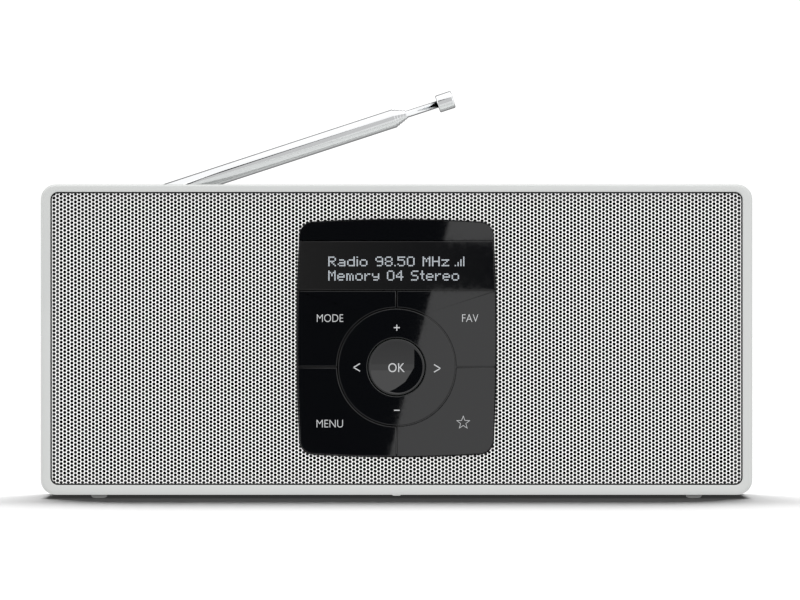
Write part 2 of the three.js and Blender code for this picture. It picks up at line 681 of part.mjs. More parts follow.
// ---- Aerial ---------------------------------------------------------------------------------
// Its own frame has X along the tubes, Y to the back and Z across, with the pivot at the origin.
const aerial = new THREE.Group();
aerial.position.copy(PIVOT);
aerial.rotation.y = -AERIAL_LIFT;
group.add(aerial);
const KNUCKLE = 1.2; // half thickness of the tongue
const EAR = KNUCKLE + 1.8;
const along = (g) => g.rotateZ(-Math.PI / 2);
const across = (r, z, segments = 16) =>
  solid(new THREE.CylinderGeometry(r, r, z[1] - z[0], segments)
    .rotateX(Math.PI / 2)
    .translate(0, 0, (z[0] + z[1]) / 2));
const flange = TROUGH.y - PIVOT.y + GAP;
const post = (profile, segments) => solid(turned(profile, segments));
add(
  "aerial_base",
  geometryOf(
    cut(
      join(
        post([
        [0, flange - 4], [2.3, flange - 4], [2.3, flange], [4, flange], [4, flange + 1.1], [0, flange + 1.1],
      ], 24),
        common(
          box([-EAR, EAR], [flange + 0.9, 2.5], [-EAR, EAR]),
          post([[0, flange], [3.9, flange], [3.9, 1.6], [3.2, 2.5], [0, 2.5]], 24),
        ),
      ),
      box([-5, 5], [flange + 1.4, 5], [-KNUCKLE - GAP, KNUCKLE + GAP]),
      across(0.9 + GAP, [-5, 5]),
    ),
  ),
  "chrome",
  aerial,
);
const nut = [flange - 4, flange - WALL - 2 * GAP];
add(
  "aerial_nut",
  geometryOf(cut(
    post([[0, nut[0]], [4.4, nut[0]], [4.4, nut[1]], [0, nut[1]]], 6),
    post([[0, nut[0] - 1], [2.6, nut[0] - 1], [2.6, nut[1] + 1], [0, nut[1] + 1]], 24),
  )),
  "steel",
  aerial,
);
add("aerial_pin", geometryOf(across(0.9, [-EAR + 0.2, EAR - 0.2])), "steel", aerial);

const radius = (k) => AERIAL_R - (k * (AERIAL_R - AERIAL_ROD_R)) / AERIAL_TUBES;
const TUBE_WALL = 0.2;
const ROOT = 4.6; // where the outer tube starts, beyond the knuckle
const tongue = cut(
  join(
    common(across(2.3, [-KNUCKLE, KNUCKLE], 20), box([-3, 3], [-3, 3], [-KNUCKLE, KNUCKLE])),
    box([0, ROOT + 0.5], [-2.3, 2.3], [-KNUCKLE, KNUCKLE]),
  ),
  across(0.9 + 0.05, [-5, 5]),
);
for (let k = 0; k < AERIAL_TUBES; k++) {
  const [r, end] = [radius(k), AERIAL_END + k * AERIAL_STEP];
  const bore = r - TUBE_WALL;
  const start = k ? ROOT + 2.4 : ROOT;
  const profile = k
    ? [[bore, start], [r, start], [r, end - 0.1], [r - 0.1, end], [bore, end]]
    : [[0, start], [r - 0.3, start], [r, start + 0.3], [r, end - 0.1], [r - 0.1, end], [bore, end],
      [bore, start + 1.8], [0, start + 1.8]];
  const tube = solid(along(turned(profile, 20)));
  add("aerial_tube_" + (k + 1), geometryOf(k ? tube : join(tube, tongue)), "chrome", aerial);
}
const knobStart = AERIAL_TIP - AERIAL_KNOB;
add(
  "aerial_rod",
  along(turned([
    [0, ROOT + 2.4], [AERIAL_ROD_R, ROOT + 2.4], [AERIAL_ROD_R, knobStart + 3], [0, knobStart + 3],
  ], 20)),
  "chrome",
  aerial,
);
const KNOB_R = 2.85;
add(
  "aerial_knob",
  along(turned([
    [AERIAL_ROD_R + 0.1, knobStart], [KNOB_R - 0.25, knobStart], [KNOB_R, knobStart + 0.25],
    [KNOB_R, AERIAL_TIP - 0.35], [KNOB_R - 0.35, AERIAL_TIP], [0, AERIAL_TIP], [0, knobStart + 3.3],
    [AERIAL_ROD_R + 0.1, knobStart + 3.3],
  ], 20)),
  "chrome",
  aerial,
);

export default group;
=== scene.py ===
# %% [markdown]
# # A tabletop radio, dressed for its portrait
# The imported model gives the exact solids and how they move. Blender adds what a faceted solid
# cannot show: round edges, a grille with every hole, printed legends and real finishes.
# The frame is loaded first, and its size is kept, because nothing here may outgrow it.

# %% Load the frame
import json
import math

import bpy
import numpy as np
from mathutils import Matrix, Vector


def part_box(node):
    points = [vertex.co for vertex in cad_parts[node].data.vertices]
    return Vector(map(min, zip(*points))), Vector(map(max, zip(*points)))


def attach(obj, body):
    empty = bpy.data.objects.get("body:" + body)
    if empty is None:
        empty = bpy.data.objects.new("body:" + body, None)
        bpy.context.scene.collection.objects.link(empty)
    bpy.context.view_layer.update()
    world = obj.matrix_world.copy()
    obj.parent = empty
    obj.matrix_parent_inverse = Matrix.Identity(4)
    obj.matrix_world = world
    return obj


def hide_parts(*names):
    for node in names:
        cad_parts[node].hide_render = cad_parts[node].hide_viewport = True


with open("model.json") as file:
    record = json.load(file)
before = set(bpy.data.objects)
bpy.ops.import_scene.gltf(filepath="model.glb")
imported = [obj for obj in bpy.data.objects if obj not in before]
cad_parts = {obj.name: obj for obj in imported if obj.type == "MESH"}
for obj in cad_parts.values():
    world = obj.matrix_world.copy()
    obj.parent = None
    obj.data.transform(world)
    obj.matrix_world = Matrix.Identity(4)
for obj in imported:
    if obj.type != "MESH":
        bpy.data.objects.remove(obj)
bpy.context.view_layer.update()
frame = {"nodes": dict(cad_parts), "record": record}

MM = 0.001


def span(node):
    """The lowest and highest corner of a node, in millimetres, as two arrays."""
    low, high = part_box(node)
    return np.array(low) / MM, np.array(high) / MM


# %% [markdown]
# ## From arrays to a mesh
# Every new piece is worked out as whole arrays of points, in millimetres. One helper puts such
# an array into a mesh, gives it its finish, says which body carries it and which solids it
# stands for. Building by hand in Edit Mode would give the same shapes, but a formula can be
# read, changed and run again.

# %% One helper for every piece
def piece(name, points, faces, finish, body, stands_for=(), flat=()):
    """A mesh object from points in millimetres and lists of corners; faces listed in flat stay unsmoothed."""
    mesh = bpy.data.meshes.new(name)
    mesh.from_pydata((np.asarray(points, float) * MM).tolist(), [], [list(map(int, f)) for f in faces])
    smooth = np.ones(len(mesh.polygons), bool)
    smooth[list(flat)] = False
    mesh.polygons.foreach_set("use_smooth", smooth)
    mesh.validate()
    mesh.update()
    mesh.materials.append(finish)
    made = bpy.data.objects.new(name, mesh)
    bpy.context.scene.collection.objects.link(made)
    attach(made, body)
    if stands_for:
        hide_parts(*stands_for)
    return made


def lattice_faces(rows, columns, close_rows=False):
    """Four-cornered faces between neighbouring rows of a grid whose columns run round and close."""
    r = np.arange(rows if close_rows else rows - 1)[:, None]
    c = np.arange(columns)[None, :]
    down, right = (r + 1) % rows, (c + 1) % columns
    corners = [r * columns + c, r * columns + right, down * columns + right, down * columns + c]
    return np.stack(corners, -1).reshape(-1, 4)


def lofted(rings, closed):
    """Rings of points joined one to the next; the last joins the first, or both ends get a flat lid."""
    rings = np.asarray(rings, float)
    rows, columns = rings.shape[:2]
    faces = [list(f) for f in lattice_faces(rows, columns, closed)]
    flat = []
    if not closed:
        faces.append(list(range(columns))[::-1])
        faces.append(list(range((rows - 1) * columns, rows * columns)))
        flat = [len(faces) - 2, len(faces) - 1]
    return rings.reshape(-1, 3), faces, flat


print("helpers ready")

# %% [markdown]
# ## Finishes
# Each finish is a small node tree read in the piece's own coordinates, so it stays put when
# the piece moves. A number that holds all over the surface sits on the shader itself. Only
# what varies, such as grain, speckle or a change of gloss, comes through nodes.

# %% A starting point for finishes
def new_finish(name, slot, colour, roughness, metallic=0.0):
    """A principled surface with the given plain values, and the record's slot kept on it."""
    made = bpy.data.materials.new(name)
    made.use_nodes = True
    made["slot"] = slot
    shader = made.node_tree.nodes["Principled BSDF"]
    shader.inputs["Base Color"].default_value = (*colour, 1)
    shader.inputs["Roughness"].default_value = roughness
    shader.inputs["Metallic"].default_value = metallic
    return made


def noise(made, scale, detail=2.0, stretch=(1, 1, 1)):
    """A noise pattern on the piece's own coordinates, scale counted per metre."""
    nodes, links = made.node_tree.nodes, made.node_tree.links
    place = nodes.new("ShaderNodeTexCoord")
    turn = nodes.new("ShaderNodeMapping")
    turn.inputs["Scale"].default_value = stretch
    pattern = nodes.new("ShaderNodeTexNoise")
    pattern.inputs["Scale"].default_value = scale
    pattern.inputs["Detail"].default_value = detail
    links.new(place.outputs["Object"], turn.inputs["Vector"])
    links.new(turn.outputs["Vector"], pattern.inputs["Vector"])
    return pattern.outputs["Fac"]


def spread(made, source, low, high, socket):
    """Carries a pattern to a shader input, its values spread between low and high."""
    nodes, links = made.node_tree.nodes, made.node_tree.links
    mapping = nodes.new("ShaderNodeMapRange")
    mapping.inputs["From Min"].default_value = 0.3
    mapping.inputs["From Max"].default_value = 0.7
    mapping.inputs["To Min"].default_value = low
    mapping.inputs["To Max"].default_value = high
    links.new(source, mapping.inputs["Value"])
    links.new(mapping.outputs["Result"], nodes["Principled BSDF"].inputs[socket])


def tint(made, source, dark, light):
    """Carries a pattern to the colour, between two shades."""
    nodes, links = made.node_tree.nodes, made.node_tree.links
    ramp = nodes.new("ShaderNodeValToRGB")
    ramp.color_ramp.elements[0].position = 0.3
    ramp.color_ramp.elements[1].position = 0.7
    ramp.color_ramp.elements[0].color = (*dark, 1)
    ramp.color_ramp.elements[1].color = (*light, 1)
    links.new(source, ramp.inputs["Fac"])
    links.new(ramp.outputs["Color"], nodes["Principled BSDF"].inputs["Base Color"])


def relief(made, source, height, strength=1.0):
    """Carries a pattern to the surface's normals, as a relief of that height in metres."""
    nodes, links = made.node_tree.nodes, made.node_tree.links
    bump = nodes.new("ShaderNodeBump")
    bump.inputs["Strength"].default_value = strength
    bump.inputs["Distance"].default_value = height
    links.new(source, bump.inputs["Height"])
    links.new(bump.outputs["Normal"], nodes["Principled BSDF"].inputs["Normal"])


def shades(colour, share):
    """Two shades of a colour, a little darker and a little lighter than it."""
    return [tuple(c * k for c in colour) for k in (1 - share, 1 + share)]


print("finish helpers ready")

# %% [markdown]
# ### Silver, white and black plastics
# The cabinet is moulded in a light silver grey with fine metal flake: a tight noise shifts its
# shade a little, and a coarser one its gloss. The grille has a white powder coat whose shade
# and gloss vary a little. The keys are piano black: almost a mirror, their gloss varying very
# slightly from place to place.

# %% Plastics and paint
def silver_plastic():
    made = new_finish("silver_plastic", "silver", (0.56, 0.57, 0.562), 0.38)
    made.node_tree.nodes["Principled BSDF"].inputs["Metallic"].default_value = 0.12
    flake = noise(made, 9000, 3)
    tint(made, flake, *shades((0.56, 0.571, 0.562), 0.035))
    spread(made, noise(made, 60), 0.34, 0.44, "Roughness")
    relief(made, noise(made, 5200, 2), 0.000004, 0.5)
    return made


def powder_white():
    made = new_finish("powder_white", "white", (0.90, 0.90, 0.895), 0.42)
    tint(made, noise(made, 1400, 3), *shades((0.90, 0.90, 0.895), 0.012))
    spread(made, noise(made, 400), 0.38, 0.5, "Roughness")
    return made


def piano_black(name="piano_black"):
    made = new_finish(name, "gloss", (0.0026, 0.0029, 0.0036), 0.02)
    made.node_tree.nodes["Principled BSDF"].inputs["IOR"].default_value = 1.55
    spread(made, noise(made, 900, 4), 0.008, 0.022, "Roughness")
    return made


def matt_black(name, slot):
    made = new_finish(name, slot, (0.012, 0.012, 0.013), 0.6)
    spread(made, noise(made, 300, 3), 0.5, 0.7, "Roughness")
    relief(made, noise(made, 3000, 2), 0.00001, 0.5)
    return made


SILVER = silver_plastic()
WHITE = powder_white()
PIANO = piano_black()
BLACK = matt_black("matt_black", "black")
SILICONE = matt_black("dark_silicone", "silicone")
print("plastics:", [m.name for m in (SILVER, WHITE, PIANO, BLACK, SILICONE)])

# %% [markdown]
# ### Metals
# The aerial is drawn brass tube, chromium plated and polished along its length, so its
# microscopic lines run with the tube. A noise stretched along the tubes gives them.
# The zinc-plated steel of screws and contacts is duller and a little blotched.

# %% Metals
def chrome():
    made = new_finish("aerial_chrome", "chrome", (0.86, 0.87, 0.88), 0.06, 1.0)
    spread(made, noise(made, 2500, 3, (0.04, 1, 1)), 0.04, 0.09, "Roughness")
    return made


def plated_steel(name, slot, colour):
    made = new_finish(name, slot, colour, 0.34, 1.0)
    tint(made, noise(made, 260, 4), *shades(colour, 0.08))
    spread(made, noise(made, 700, 3), 0.26, 0.42, "Roughness")
    return made


CHROME = chrome()
STEEL = plated_steel("zinc_plate", "steel", (0.52, 0.53, 0.54))
ALUMINIUM = plated_steel("plain_aluminium", "aluminium", (0.6, 0.61, 0.62))
print("metals:", [m.name for m in (CHROME, STEEL, ALUMINIUM)])

# %% [markdown]
# ### Everything else
# Rubber feet, green boards, coated paper cones, red leads and a grey ribbon. They sit inside or
# under the radio, and still get a grain of their own, because the model can be opened.

# %% Rubber, boards, paper and leads
def grained(name, slot, colour, roughness, scale, share=0.06, height=0.00001):
    made = new_finish(name, slot, colour, roughness)
    tint(made, noise(made, scale, 3), *shades(colour, share))
    relief(made, noise(made, 2 * scale, 2), height, 0.5)
    return made


RUBBER = grained("grey_rubber", "rubber", (0.13, 0.132, 0.13), 0.7, 2500)
BOARD = grained("green_board", "board", (0.018, 0.11, 0.045), 0.35, 900, 0.2)
PAPER = grained("coated_paper", "paper", (0.017, 0.017, 0.018), 0.85, 1800, 0.25, 0.00003)
WIRE = grained("red_lead", "wire", (0.33, 0.02, 0.015), 0.45, 600)
RIBBON = grained("grey_ribbon", "ribbon", (0.45, 0.46, 0.47), 0.5, 800)
print("others:", [m.name for m in (RUBBER, BOARD, PAPER, WIRE, RIBBON)])

# %% [markdown]
# ## Outlines seen from the front
# Nearly everything on the front is a flat shape with a round edge: the opening of the cabinet,
# the key panel, the keys. So the outlines come first, as distances: how far a point lies
# outside a shape, less than zero when inside. A distance is easier to cut with than a
# drawn line, and it also tells where to move a point that should lie on the edge.

# %% Sizes read from the frame
GRILLE_LOW, GRILLE_HIGH = span("speaker_grille")
CARRIER_HIGH = span("panel_carrier")[1]
WINDOW_LOW, WINDOW_HIGH = span("display_window")
RING_LOW, RING_HIGH = span("rocker_ring")
OK_LOW, OK_HIGH = span("ok_button")
KEY_LOW, KEY_HIGH = span("menu_key")
HOUSING_LOW, HOUSING_HIGH = span("front_housing")
FRONT_Y = HOUSING_LOW[1]
FACE_Y = RING_LOW[1]
KEY_BACK = FACE_Y + 2.0
RING_X, RING_Z = 0.0, (OK_LOW[2] + OK_HIGH[2]) / 2
RING_R = (RING_HIGH[0] - RING_LOW[0]) / 2
OK_R = (OK_HIGH[0] - OK_LOW[0]) / 2
SLIT = 0.35
BOW, PANEL_R = 0.85, 4.2
PANEL_TOP, PANEL_LOW = CARRIER_HIGH[2], KEY_LOW[2]
PANEL_Z = (PANEL_TOP + PANEL_LOW) / 2
PILLOW = np.array([WINDOW_HIGH[0], (PANEL_TOP - PANEL_LOW) / 2]) - PANEL_R - BOW
print("panel half size:", (PILLOW + PANEL_R + BOW).round(2), "centre height:", round(PANEL_Z, 2))
print("ring radius:", round(RING_R, 2), "button radius:", round(OK_R, 2), "ring height:", round(RING_Z, 2))


def off_rectangle(p, half, centre, radius):
    """Distance outside a rectangle with round corners.

    |max(q, 0)| + min(max(qx, qz), 0) - r, with q = |p - c| - half + r.
    """
    q = np.abs(p - centre) - half + radius
    return np.linalg.norm(np.maximum(q, 0), axis=-1) + np.minimum(q.max(-1), 0) - radius


def off_panel(p):
    """Distance outside the key panel, whose four sides are shallow arcs between round corners.

    Each side's arc has the radius (h * h + b * b) / (2 b) for a half length h and a bow b.
    """
    q = np.abs(p - np.array([0, PANEL_Z]))
    big = (PILLOW[::-1] ** 2 + BOW**2) / (2 * BOW)
    hub = PILLOW + BOW - big
    right = np.hypot(q[..., 0] - hub[0], q[..., 1]) - big[0]
    above = np.hypot(q[..., 0], q[..., 1] - hub[1]) - big[1]
    turn_right = np.arctan2(q[..., 1], q[..., 0] - hub[0]) > np.arcsin(PILLOW[1] / big[0])
    turn_above = np.arctan2(q[..., 0], q[..., 1] - hub[1]) > np.arcsin(PILLOW[0] / big[1])
    corner = np.hypot(q[..., 0] - PILLOW[0], q[..., 1] - PILLOW[1])
    return np.where(turn_right & turn_above, corner, np.maximum(right, above)) - PANEL_R


def onto_edge(p, off, level=0.0):
    """Points moved along the slope of a distance until it has the wanted level."""
    for _ in range(4):
        slope = np.stack([off(p + d) - off(p - d) for d in np.eye(2) * 0.01], -1) / 0.02
        p = p - slope * (off(p) - level)[..., None]
    return p


def march(start, heading, off):
    """Where rays from the start first reach the edge of a shape that they leave."""
    travelled = np.zeros(len(heading))
    for _ in range(60):
        travelled = travelled - off(start + heading * travelled[:, None])
    return start + heading * travelled[:, None]


# %% Round edges for flat shapes
def edge_rings(outline, front, back, radius, steps=4):
    """Rings that carry a closed outline from front to back, its front edge turned to a quarter circle.

    Ring k is set in by r (1 - sin a) and lies at front + r (1 - cos a), with a from 0 to 90 degrees.
    """
    ahead, behind = np.roll(outline, -1, 0), np.roll(outline, 1, 0)
    before, after = outline - behind, ahead - outline
    before /= np.linalg.norm(before, axis=1, keepdims=True) + 1e-12
    after /= np.linalg.norm(after, axis=1, keepdims=True) + 1e-12
    middle = before + after
    middle /= np.linalg.norm(middle, axis=1, keepdims=True) + 1e-12
    inward = np.stack([-middle[:, 1], middle[:, 0]], 1)
    inward /= np.maximum(np.abs((before * middle).sum(1, keepdims=True)), 0.5)
    angle = np.linspace(0, np.pi / 2, steps + 1)
    inset = np.append(radius * (1 - np.sin(angle)), 0)
    depth = np.append(front + radius * (1 - np.cos(angle)), back)
    flat = outline[None] + inward[None] * inset[:, None, None]
    y = np.broadcast_to(depth[:, None], flat.shape[:2])
    return np.stack([flat[..., 0], y, flat[..., 1]], -1)


def turned_rings(profile, x, z, around=64):
    """Rings of a turned piece: the point (r, y) of the profile runs round the line x, z."""
    angle = np.linspace(0, 2 * np.pi, around, endpoint=False)
    profile = np.asarray(profile, float)
    r = profile[:, :1]
    y = np.broadcast_to(profile[:, 1:], (len(profile), around))
    return np.stack([x + r * np.cos(angle), y, z + r * np.sin(angle)], -1)


def joined(*parts):
    """Several shapes (points, faces, flat faces) as one."""
    points, faces, flat, start = [], [], [], 0
    for p, f, level in parts:
        flat += [len(faces) + k for k in level]
        faces += [[start + int(i) for i in face] for face in f]
        points.append(p)
        start += len(p)
    return np.concatenate(points), faces, flat


def turned_over(shape):
    """The same shape with its faces turned to look the other way."""
    points, faces, flat = shape
    return points, [list(face)[::-1] for face in faces], flat


print("shape helpers ready")

# %% [markdown]
# ## The front housing
# One moulding: a rim round the front, a wall that runs back to the seam, and inside it a
# ledge on which the grille rests. Its section is the same all the way round, so the
# piece is that section carried along a rectangle with round corners. The rim is rounded
# outside and has a finer round inside, which catches the thin bright line along its edge.

# %% Front housing
def frame_ring(half, low, high, radius, y, per_corner=12):
    """One ring: a rectangle with round corners, half wide, from low to high, at depth y."""
    angle = (np.arange(per_corner) / (per_corner - 1))[None] * np.pi / 2 + np.arange(4)[:, None] * np.pi / 2
    side = np.array([[1, 1], [-1, 1], [-1, -1], [1, -1]], float)
    middle = np.array([0, (low + high) / 2])
    reach = np.array([half, (high - low) / 2]) - radius
    x = middle[0] + side[:, :1] * reach[0] + radius * np.cos(angle)
    z = middle[1] + side[:, 1:] * reach[1] + radius * np.sin(angle)
    return np.stack([x.ravel(), np.full(x.size, y), z.ravel()], -1)


HALF_X = HOUSING_HIGH[0]
LOW_Z, HIGH_Z = 1.1, HOUSING_HIGH[2]
OPEN_X = GRILLE_HIGH[0] + 0.4
OPEN_LOW, OPEN_HIGH = GRILLE_LOW[2] - 0.4, GRILLE_HIGH[2] + 0.4
SEAM_Y = HOUSING_HIGH[1]


def housing_section():
    """The section, from the outer back edge round the front and along the inside: (inset, depth) pairs.

    Outer points are set in from the cabinet's outline, inner ones from the opening's.
    """
    quarter = np.linspace(0, np.pi / 2, 7)
    outer = [("out", 0, SEAM_Y), ("out", 0, FRONT_Y + 0.95)]
    outer += [("out", 0.9 * (1 - math.cos(a)), FRONT_Y + 0.9 * (1 - math.sin(a))) for a in quarter]
    inner = [("in", -0.3 * (1 - math.sin(a)), FRONT_Y + 0.3 * (1 - math.cos(a))) for a in quarter]
    inner += [("in", 0, -23.1), ("in", 2.4, -23.1), ("in", 2.5, -23.0), ("in", 2.5, -20.9)]
    inner += [("in", 2.4, -20.8), ("in", 0, -20.8), ("in", 0, SEAM_Y)]
    return outer + inner


def housing():
    rings = []
    for kind, inset, y in housing_section():
        if kind == "out":
            rings.append(frame_ring(HALF_X - inset, LOW_Z + inset, HIGH_Z - inset, 4.8 - 0.8 * inset, y))
        else:
            rings.append(frame_ring(OPEN_X - inset, OPEN_LOW + inset, OPEN_HIGH - inset, 2.4 - 0.3 * inset, y))
    return lofted(rings, True)


def housing_posts():
    """Four screw posts, each a turned sleeve, stand on the wall behind the ledge."""
    sleeves = []
    for x in (-104, 104):
        for z in (10.1, 78.0):
            sleeve = [(1.35, -7.3), (1.35, -15), (0.1, -15.6), (0.1, -18.2),
                      (3.9, -18.2), (4, -18.1), (4, -7.4), (3.9, -7.3)]
            sleeves.append(turned_over(lofted(turned_rings(sleeve, x, z, 24), True)))
    return joined(*sleeves)


def nub():
    """A small moulded tab under the middle of the rim."""
    ring = [frame_ring(1.3 - inset, 0.8 + inset, 2.4, 0.3, y, 5)
            for inset, y in ((0.2, -23.8), (0, -23.6), (0, -21.2), (0.2, -21.0))]
    return turned_over(lofted(np.array(ring), False))


tab = nub()
piece("rim_tab", tab[0], tab[1], SILVER, "cabinet", flat=tab[2])
front_housing = piece("housing_shell", *housing()[:2], SILVER, "cabinet", ["front_housing"])
posts = piece("housing_posts", *housing_posts()[:2], SILVER, "cabinet")


def paint_shade_in_opening(shell):
    """Faces of the opening whose middle is over 0.7 mm deep are painted matt black: painted shade in the gap round
    the grille, on a silver moulding.
    """
    shell.data.materials.append(BLACK)
    count = len(shell.data.polygons)
    middle = np.zeros(count * 3)
    shell.data.polygons.foreach_get("center", middle)
    x, y, z = (middle.reshape(-1, 3) / MM).T
    inside = (abs(x) < OPEN_X + 0.05) & (z > OPEN_LOW - 0.05) & (z < OPEN_HIGH + 0.05)
    # painted shade: these deep faces of the silver moulding get matt black
    dark = inside & (y > FRONT_Y + 0.7)
    shell.data.polygons.foreach_set("material_index", dark.astype(np.int32))
    return int(dark.sum())


print("dark faces in the opening:", paint_shade_in_opening(front_housing))
print("housing faces:", len(front_housing.data.polygons), "posts:", len(posts.data.polygons))

# %% [markdown]
# ## The grille
# The front is steel sheet with thousands of small round holes, each row shifted half a step
# from the next, then powder coated white. Holes cut with a Boolean would be slow and
# untidy. Here the metal between the holes is the mesh: every hole is a ring of eight points,
# and five four-cornered faces join it to its neighbours. Points that fall outside the sheet
# are moved onto its edge, so a hole that meets the edge stays open, as punched sheet does.

# %% A sheet of holes
STEP_X, STEP_Z, HOLE_R = 1.123, 1.194, 0.54
GRILLE_HALF = np.array([GRILLE_HIGH[0], (GRILLE_HIGH[2] - GRILLE_LOW[2]) / 2])
GRILLE_MID = np.array([0, (GRILLE_HIGH[2] + GRILLE_LOW[2]) / 2])


def off_sheet(p):
    """Distance outside the grille sheet: its rectangle, less the opening for the key panel."""
    return np.maximum(off_rectangle(p, GRILLE_HALF, GRILLE_MID, 2.0), SLIT - off_panel(p))


def hole_field():
    """Points of all holes, and the faces of the metal between them.

    Hole (i, j) is at (i a, (j + (i mod 2) / 2) b); its corner k is at 22.5 + 45 k degrees.
    """
    columns, rows = int(110 / STEP_X), int(50 / STEP_Z)
    i, j = np.meshgrid(np.arange(-columns, columns + 1), np.arange(-rows, rows + 1), indexing="ij")
    centre = np.stack([i * STEP_X, (j + 0.5 * (i % 2)) * STEP_Z + GRILLE_MID[1]], -1)
    angle = np.radians(22.5 + 45 * np.arange(8))
    corners = centre[:, :, None] + HOLE_R * np.stack([np.cos(angle), np.sin(angle)], -1)
    wide, tall = i.shape
    number = (np.arange(wide)[:, None] * tall + np.arange(tall)[None]) * 8
    a = number[:-1, 1:-1]
    above = number[:-1, 2:]
    odd = (i[:-1, 1:-1] % 2).astype(bool)
    up = np.where(odd, number[1:, 2:], number[1:, 1:-1])
    down = np.where(odd, number[1:, 1:-1], number[1:, :-2])
    faces = [
        [a + 1, above + 6, above + 5, a + 2],
        [a + 1, a + 0, up + 5, up + 4],
        [a + 7, a + 6, down + 3, down + 2],
        [a + 0, a + 7, down + 2, up + 5],
        [a + 1, up + 4, up + 3, above + 6],
    ]
    quads = np.concatenate([np.stack(f, -1).reshape(-1, 4) for f in faces])
    return corners.reshape(-1, 2), quads


def perforated():
    """The metal of the sheet: faces that reach inside it, their outer points on its edge."""
    points, quads = hole_field()
    outside = off_sheet(points)
    quads = quads[(outside[quads] < -0.03).any(1)]
    stray = outside > -0.03
    points = points.copy()
    points[stray] = onto_edge(onto_edge(points[stray], off_sheet, -0.002), off_sheet, -0.002)
    return points, quads


def wind(points, quads):
    """Quads listed so that each looks along -Y: anticlockwise in X and Z."""
    p = points[quads]
    area = ((p[:, 2] - p[:, 0])[:, 0] * (p[:, 3] - p[:, 1])[:, 1]
            - (p[:, 2] - p[:, 0])[:, 1] * (p[:, 3] - p[:, 1])[:, 0])
    return np.where(area[:, None] < 0, quads[:, ::-1], quads)


def sheet_panel(points, quads, front, back):
    """A part of the sheet with its two faces and a wall along every free edge."""
    used, local = np.unique(quads, return_inverse=True)
    local = local.reshape(quads.shape)
    flat = points[used]
    count = len(used)
    both = np.concatenate([np.insert(flat, 1, y, axis=1) for y in (front, back)])
    edges = np.stack([local, np.roll(local, -1, 1)], -1).reshape(-1, 2)
    key = np.sort(edges, 1) @ np.array([count, 1])
    _, first, times = np.unique(key, return_index=True, return_counts=True)
    free = edges[first[times == 1]]
    walls = np.stack([free[:, 1], free[:, 0], free[:, 0] + count, free[:, 1] + count], -1)
    return both, np.concatenate([local, local[:, ::-1] + count, walls])


METAL, QUADS = perforated()
QUADS = wind(METAL, QUADS)
where_x = METAL[QUADS].mean(1)[:, 0]
grille_parts = []
for number, (start, end) in enumerate([(-200, -54), (-54, 0), (0, 54), (54, 200)]):
    chosen = QUADS[(where_x >= start) & (where_x < end)]
    body = sheet_panel(METAL, chosen, GRILLE_LOW[1], GRILLE_HIGH[1])
    part = piece(f"grille_sheet_{number + 1}", *body, WHITE, "cabinet", ["speaker_grille"], range(len(body[1])))
    grille_parts.append(part)
print("grille faces:", [len(p.data.polygons) for p in grille_parts])

# %% [markdown]
# ## The cloth behind the grille
# A thin black cloth is pulled flat behind the sheet and glued at its rim, so dust stays out and
# nothing shows through the holes. It is one flat ring between the rectangle and the hole
# for the panel, with a weave drawn by two wave patterns in its finish.

# %% Grille cloth
CLOTH_LOW, CLOTH_HIGH = span("grille_cloth")


def woven_black():
    made = new_finish("woven_black", "cloth", (0.006, 0.006, 0.0065), 0.95)
    made.node_tree.nodes["Principled BSDF"].inputs["Specular IOR Level"].default_value = 0.1
    nodes, links = made.node_tree.nodes, made.node_tree.links
    place = nodes.new("ShaderNodeTexCoord")
    both = nodes.new("ShaderNodeMath")
    both.operation = "MULTIPLY"
    for socket, direction in enumerate(("X", "Z")):
        wave = nodes.new("ShaderNodeTexWave")
        wave.bands_direction = direction
        wave.inputs["Scale"].default_value = 900
        links.new(place.outputs["Object"], wave.inputs["Vector"])
        links.new(wave.outputs["Fac"], both.inputs[socket])
    relief(made, both.outputs["Value"], 0.00005)
    return made


def cloth():
    """The cloth between its outer edge and the panel's cut: p = edge + (cut - edge) t, on both its faces."""
    angle = np.linspace(0, 2 * np.pi, 240, endpoint=False)
    heading = np.stack([np.cos(angle), np.sin(angle)], -1)
    start = np.tile([0.0, PANEL_Z], (len(angle), 1))
    half = (CLOTH_HIGH - CLOTH_LOW)[[0, 2]] / 2
    middle = (CLOTH_HIGH + CLOTH_LOW)[[0, 2]] / 2
    edge = march(start, heading, lambda p: off_rectangle(p, half, middle, 1.8))
    cut = march(start, heading, lambda p: off_panel(p) - 0.8)
    t = np.linspace(0, 1, 5)[:, None, None]
    flat = edge[None] + (cut - edge)[None] * t
    front = np.insert(flat, 1, CLOTH_LOW[1], axis=2)
    back = np.insert(flat[::-1], 1, CLOTH_LOW[1] + 0.4, axis=2)
    area = 0.5 * abs(np.cross(edge, np.roll(edge, -1, 0)).sum()) - 0.5 * abs(np.cross(cut, np.roll(cut, -1, 0)).sum())
    return lofted(np.concatenate([front, back]), True), area


(cloth_points, cloth_faces, _), CLOTH_AREA = cloth()
grille_cloth = piece("black_cloth", cloth_points, cloth_faces, woven_black(), "cabinet", ["grille_cloth"],
                     range(len(cloth_faces)))

# %% [markdown]
# ## Keys, ring and button
# Four corner keys share one outline with the window and the strip above it, so the panel reads
# as one black tile cut by thin lines. Each key fills the space between the ring and the
# panel's edge. Rays from the key's inner corner find both. The ring and the dished
# button are turned pieces with a small round on each edge.

# %% Four corner keys
KEYS_TOP = span("mode_key")[1][2]
EDGE_R = 0.22


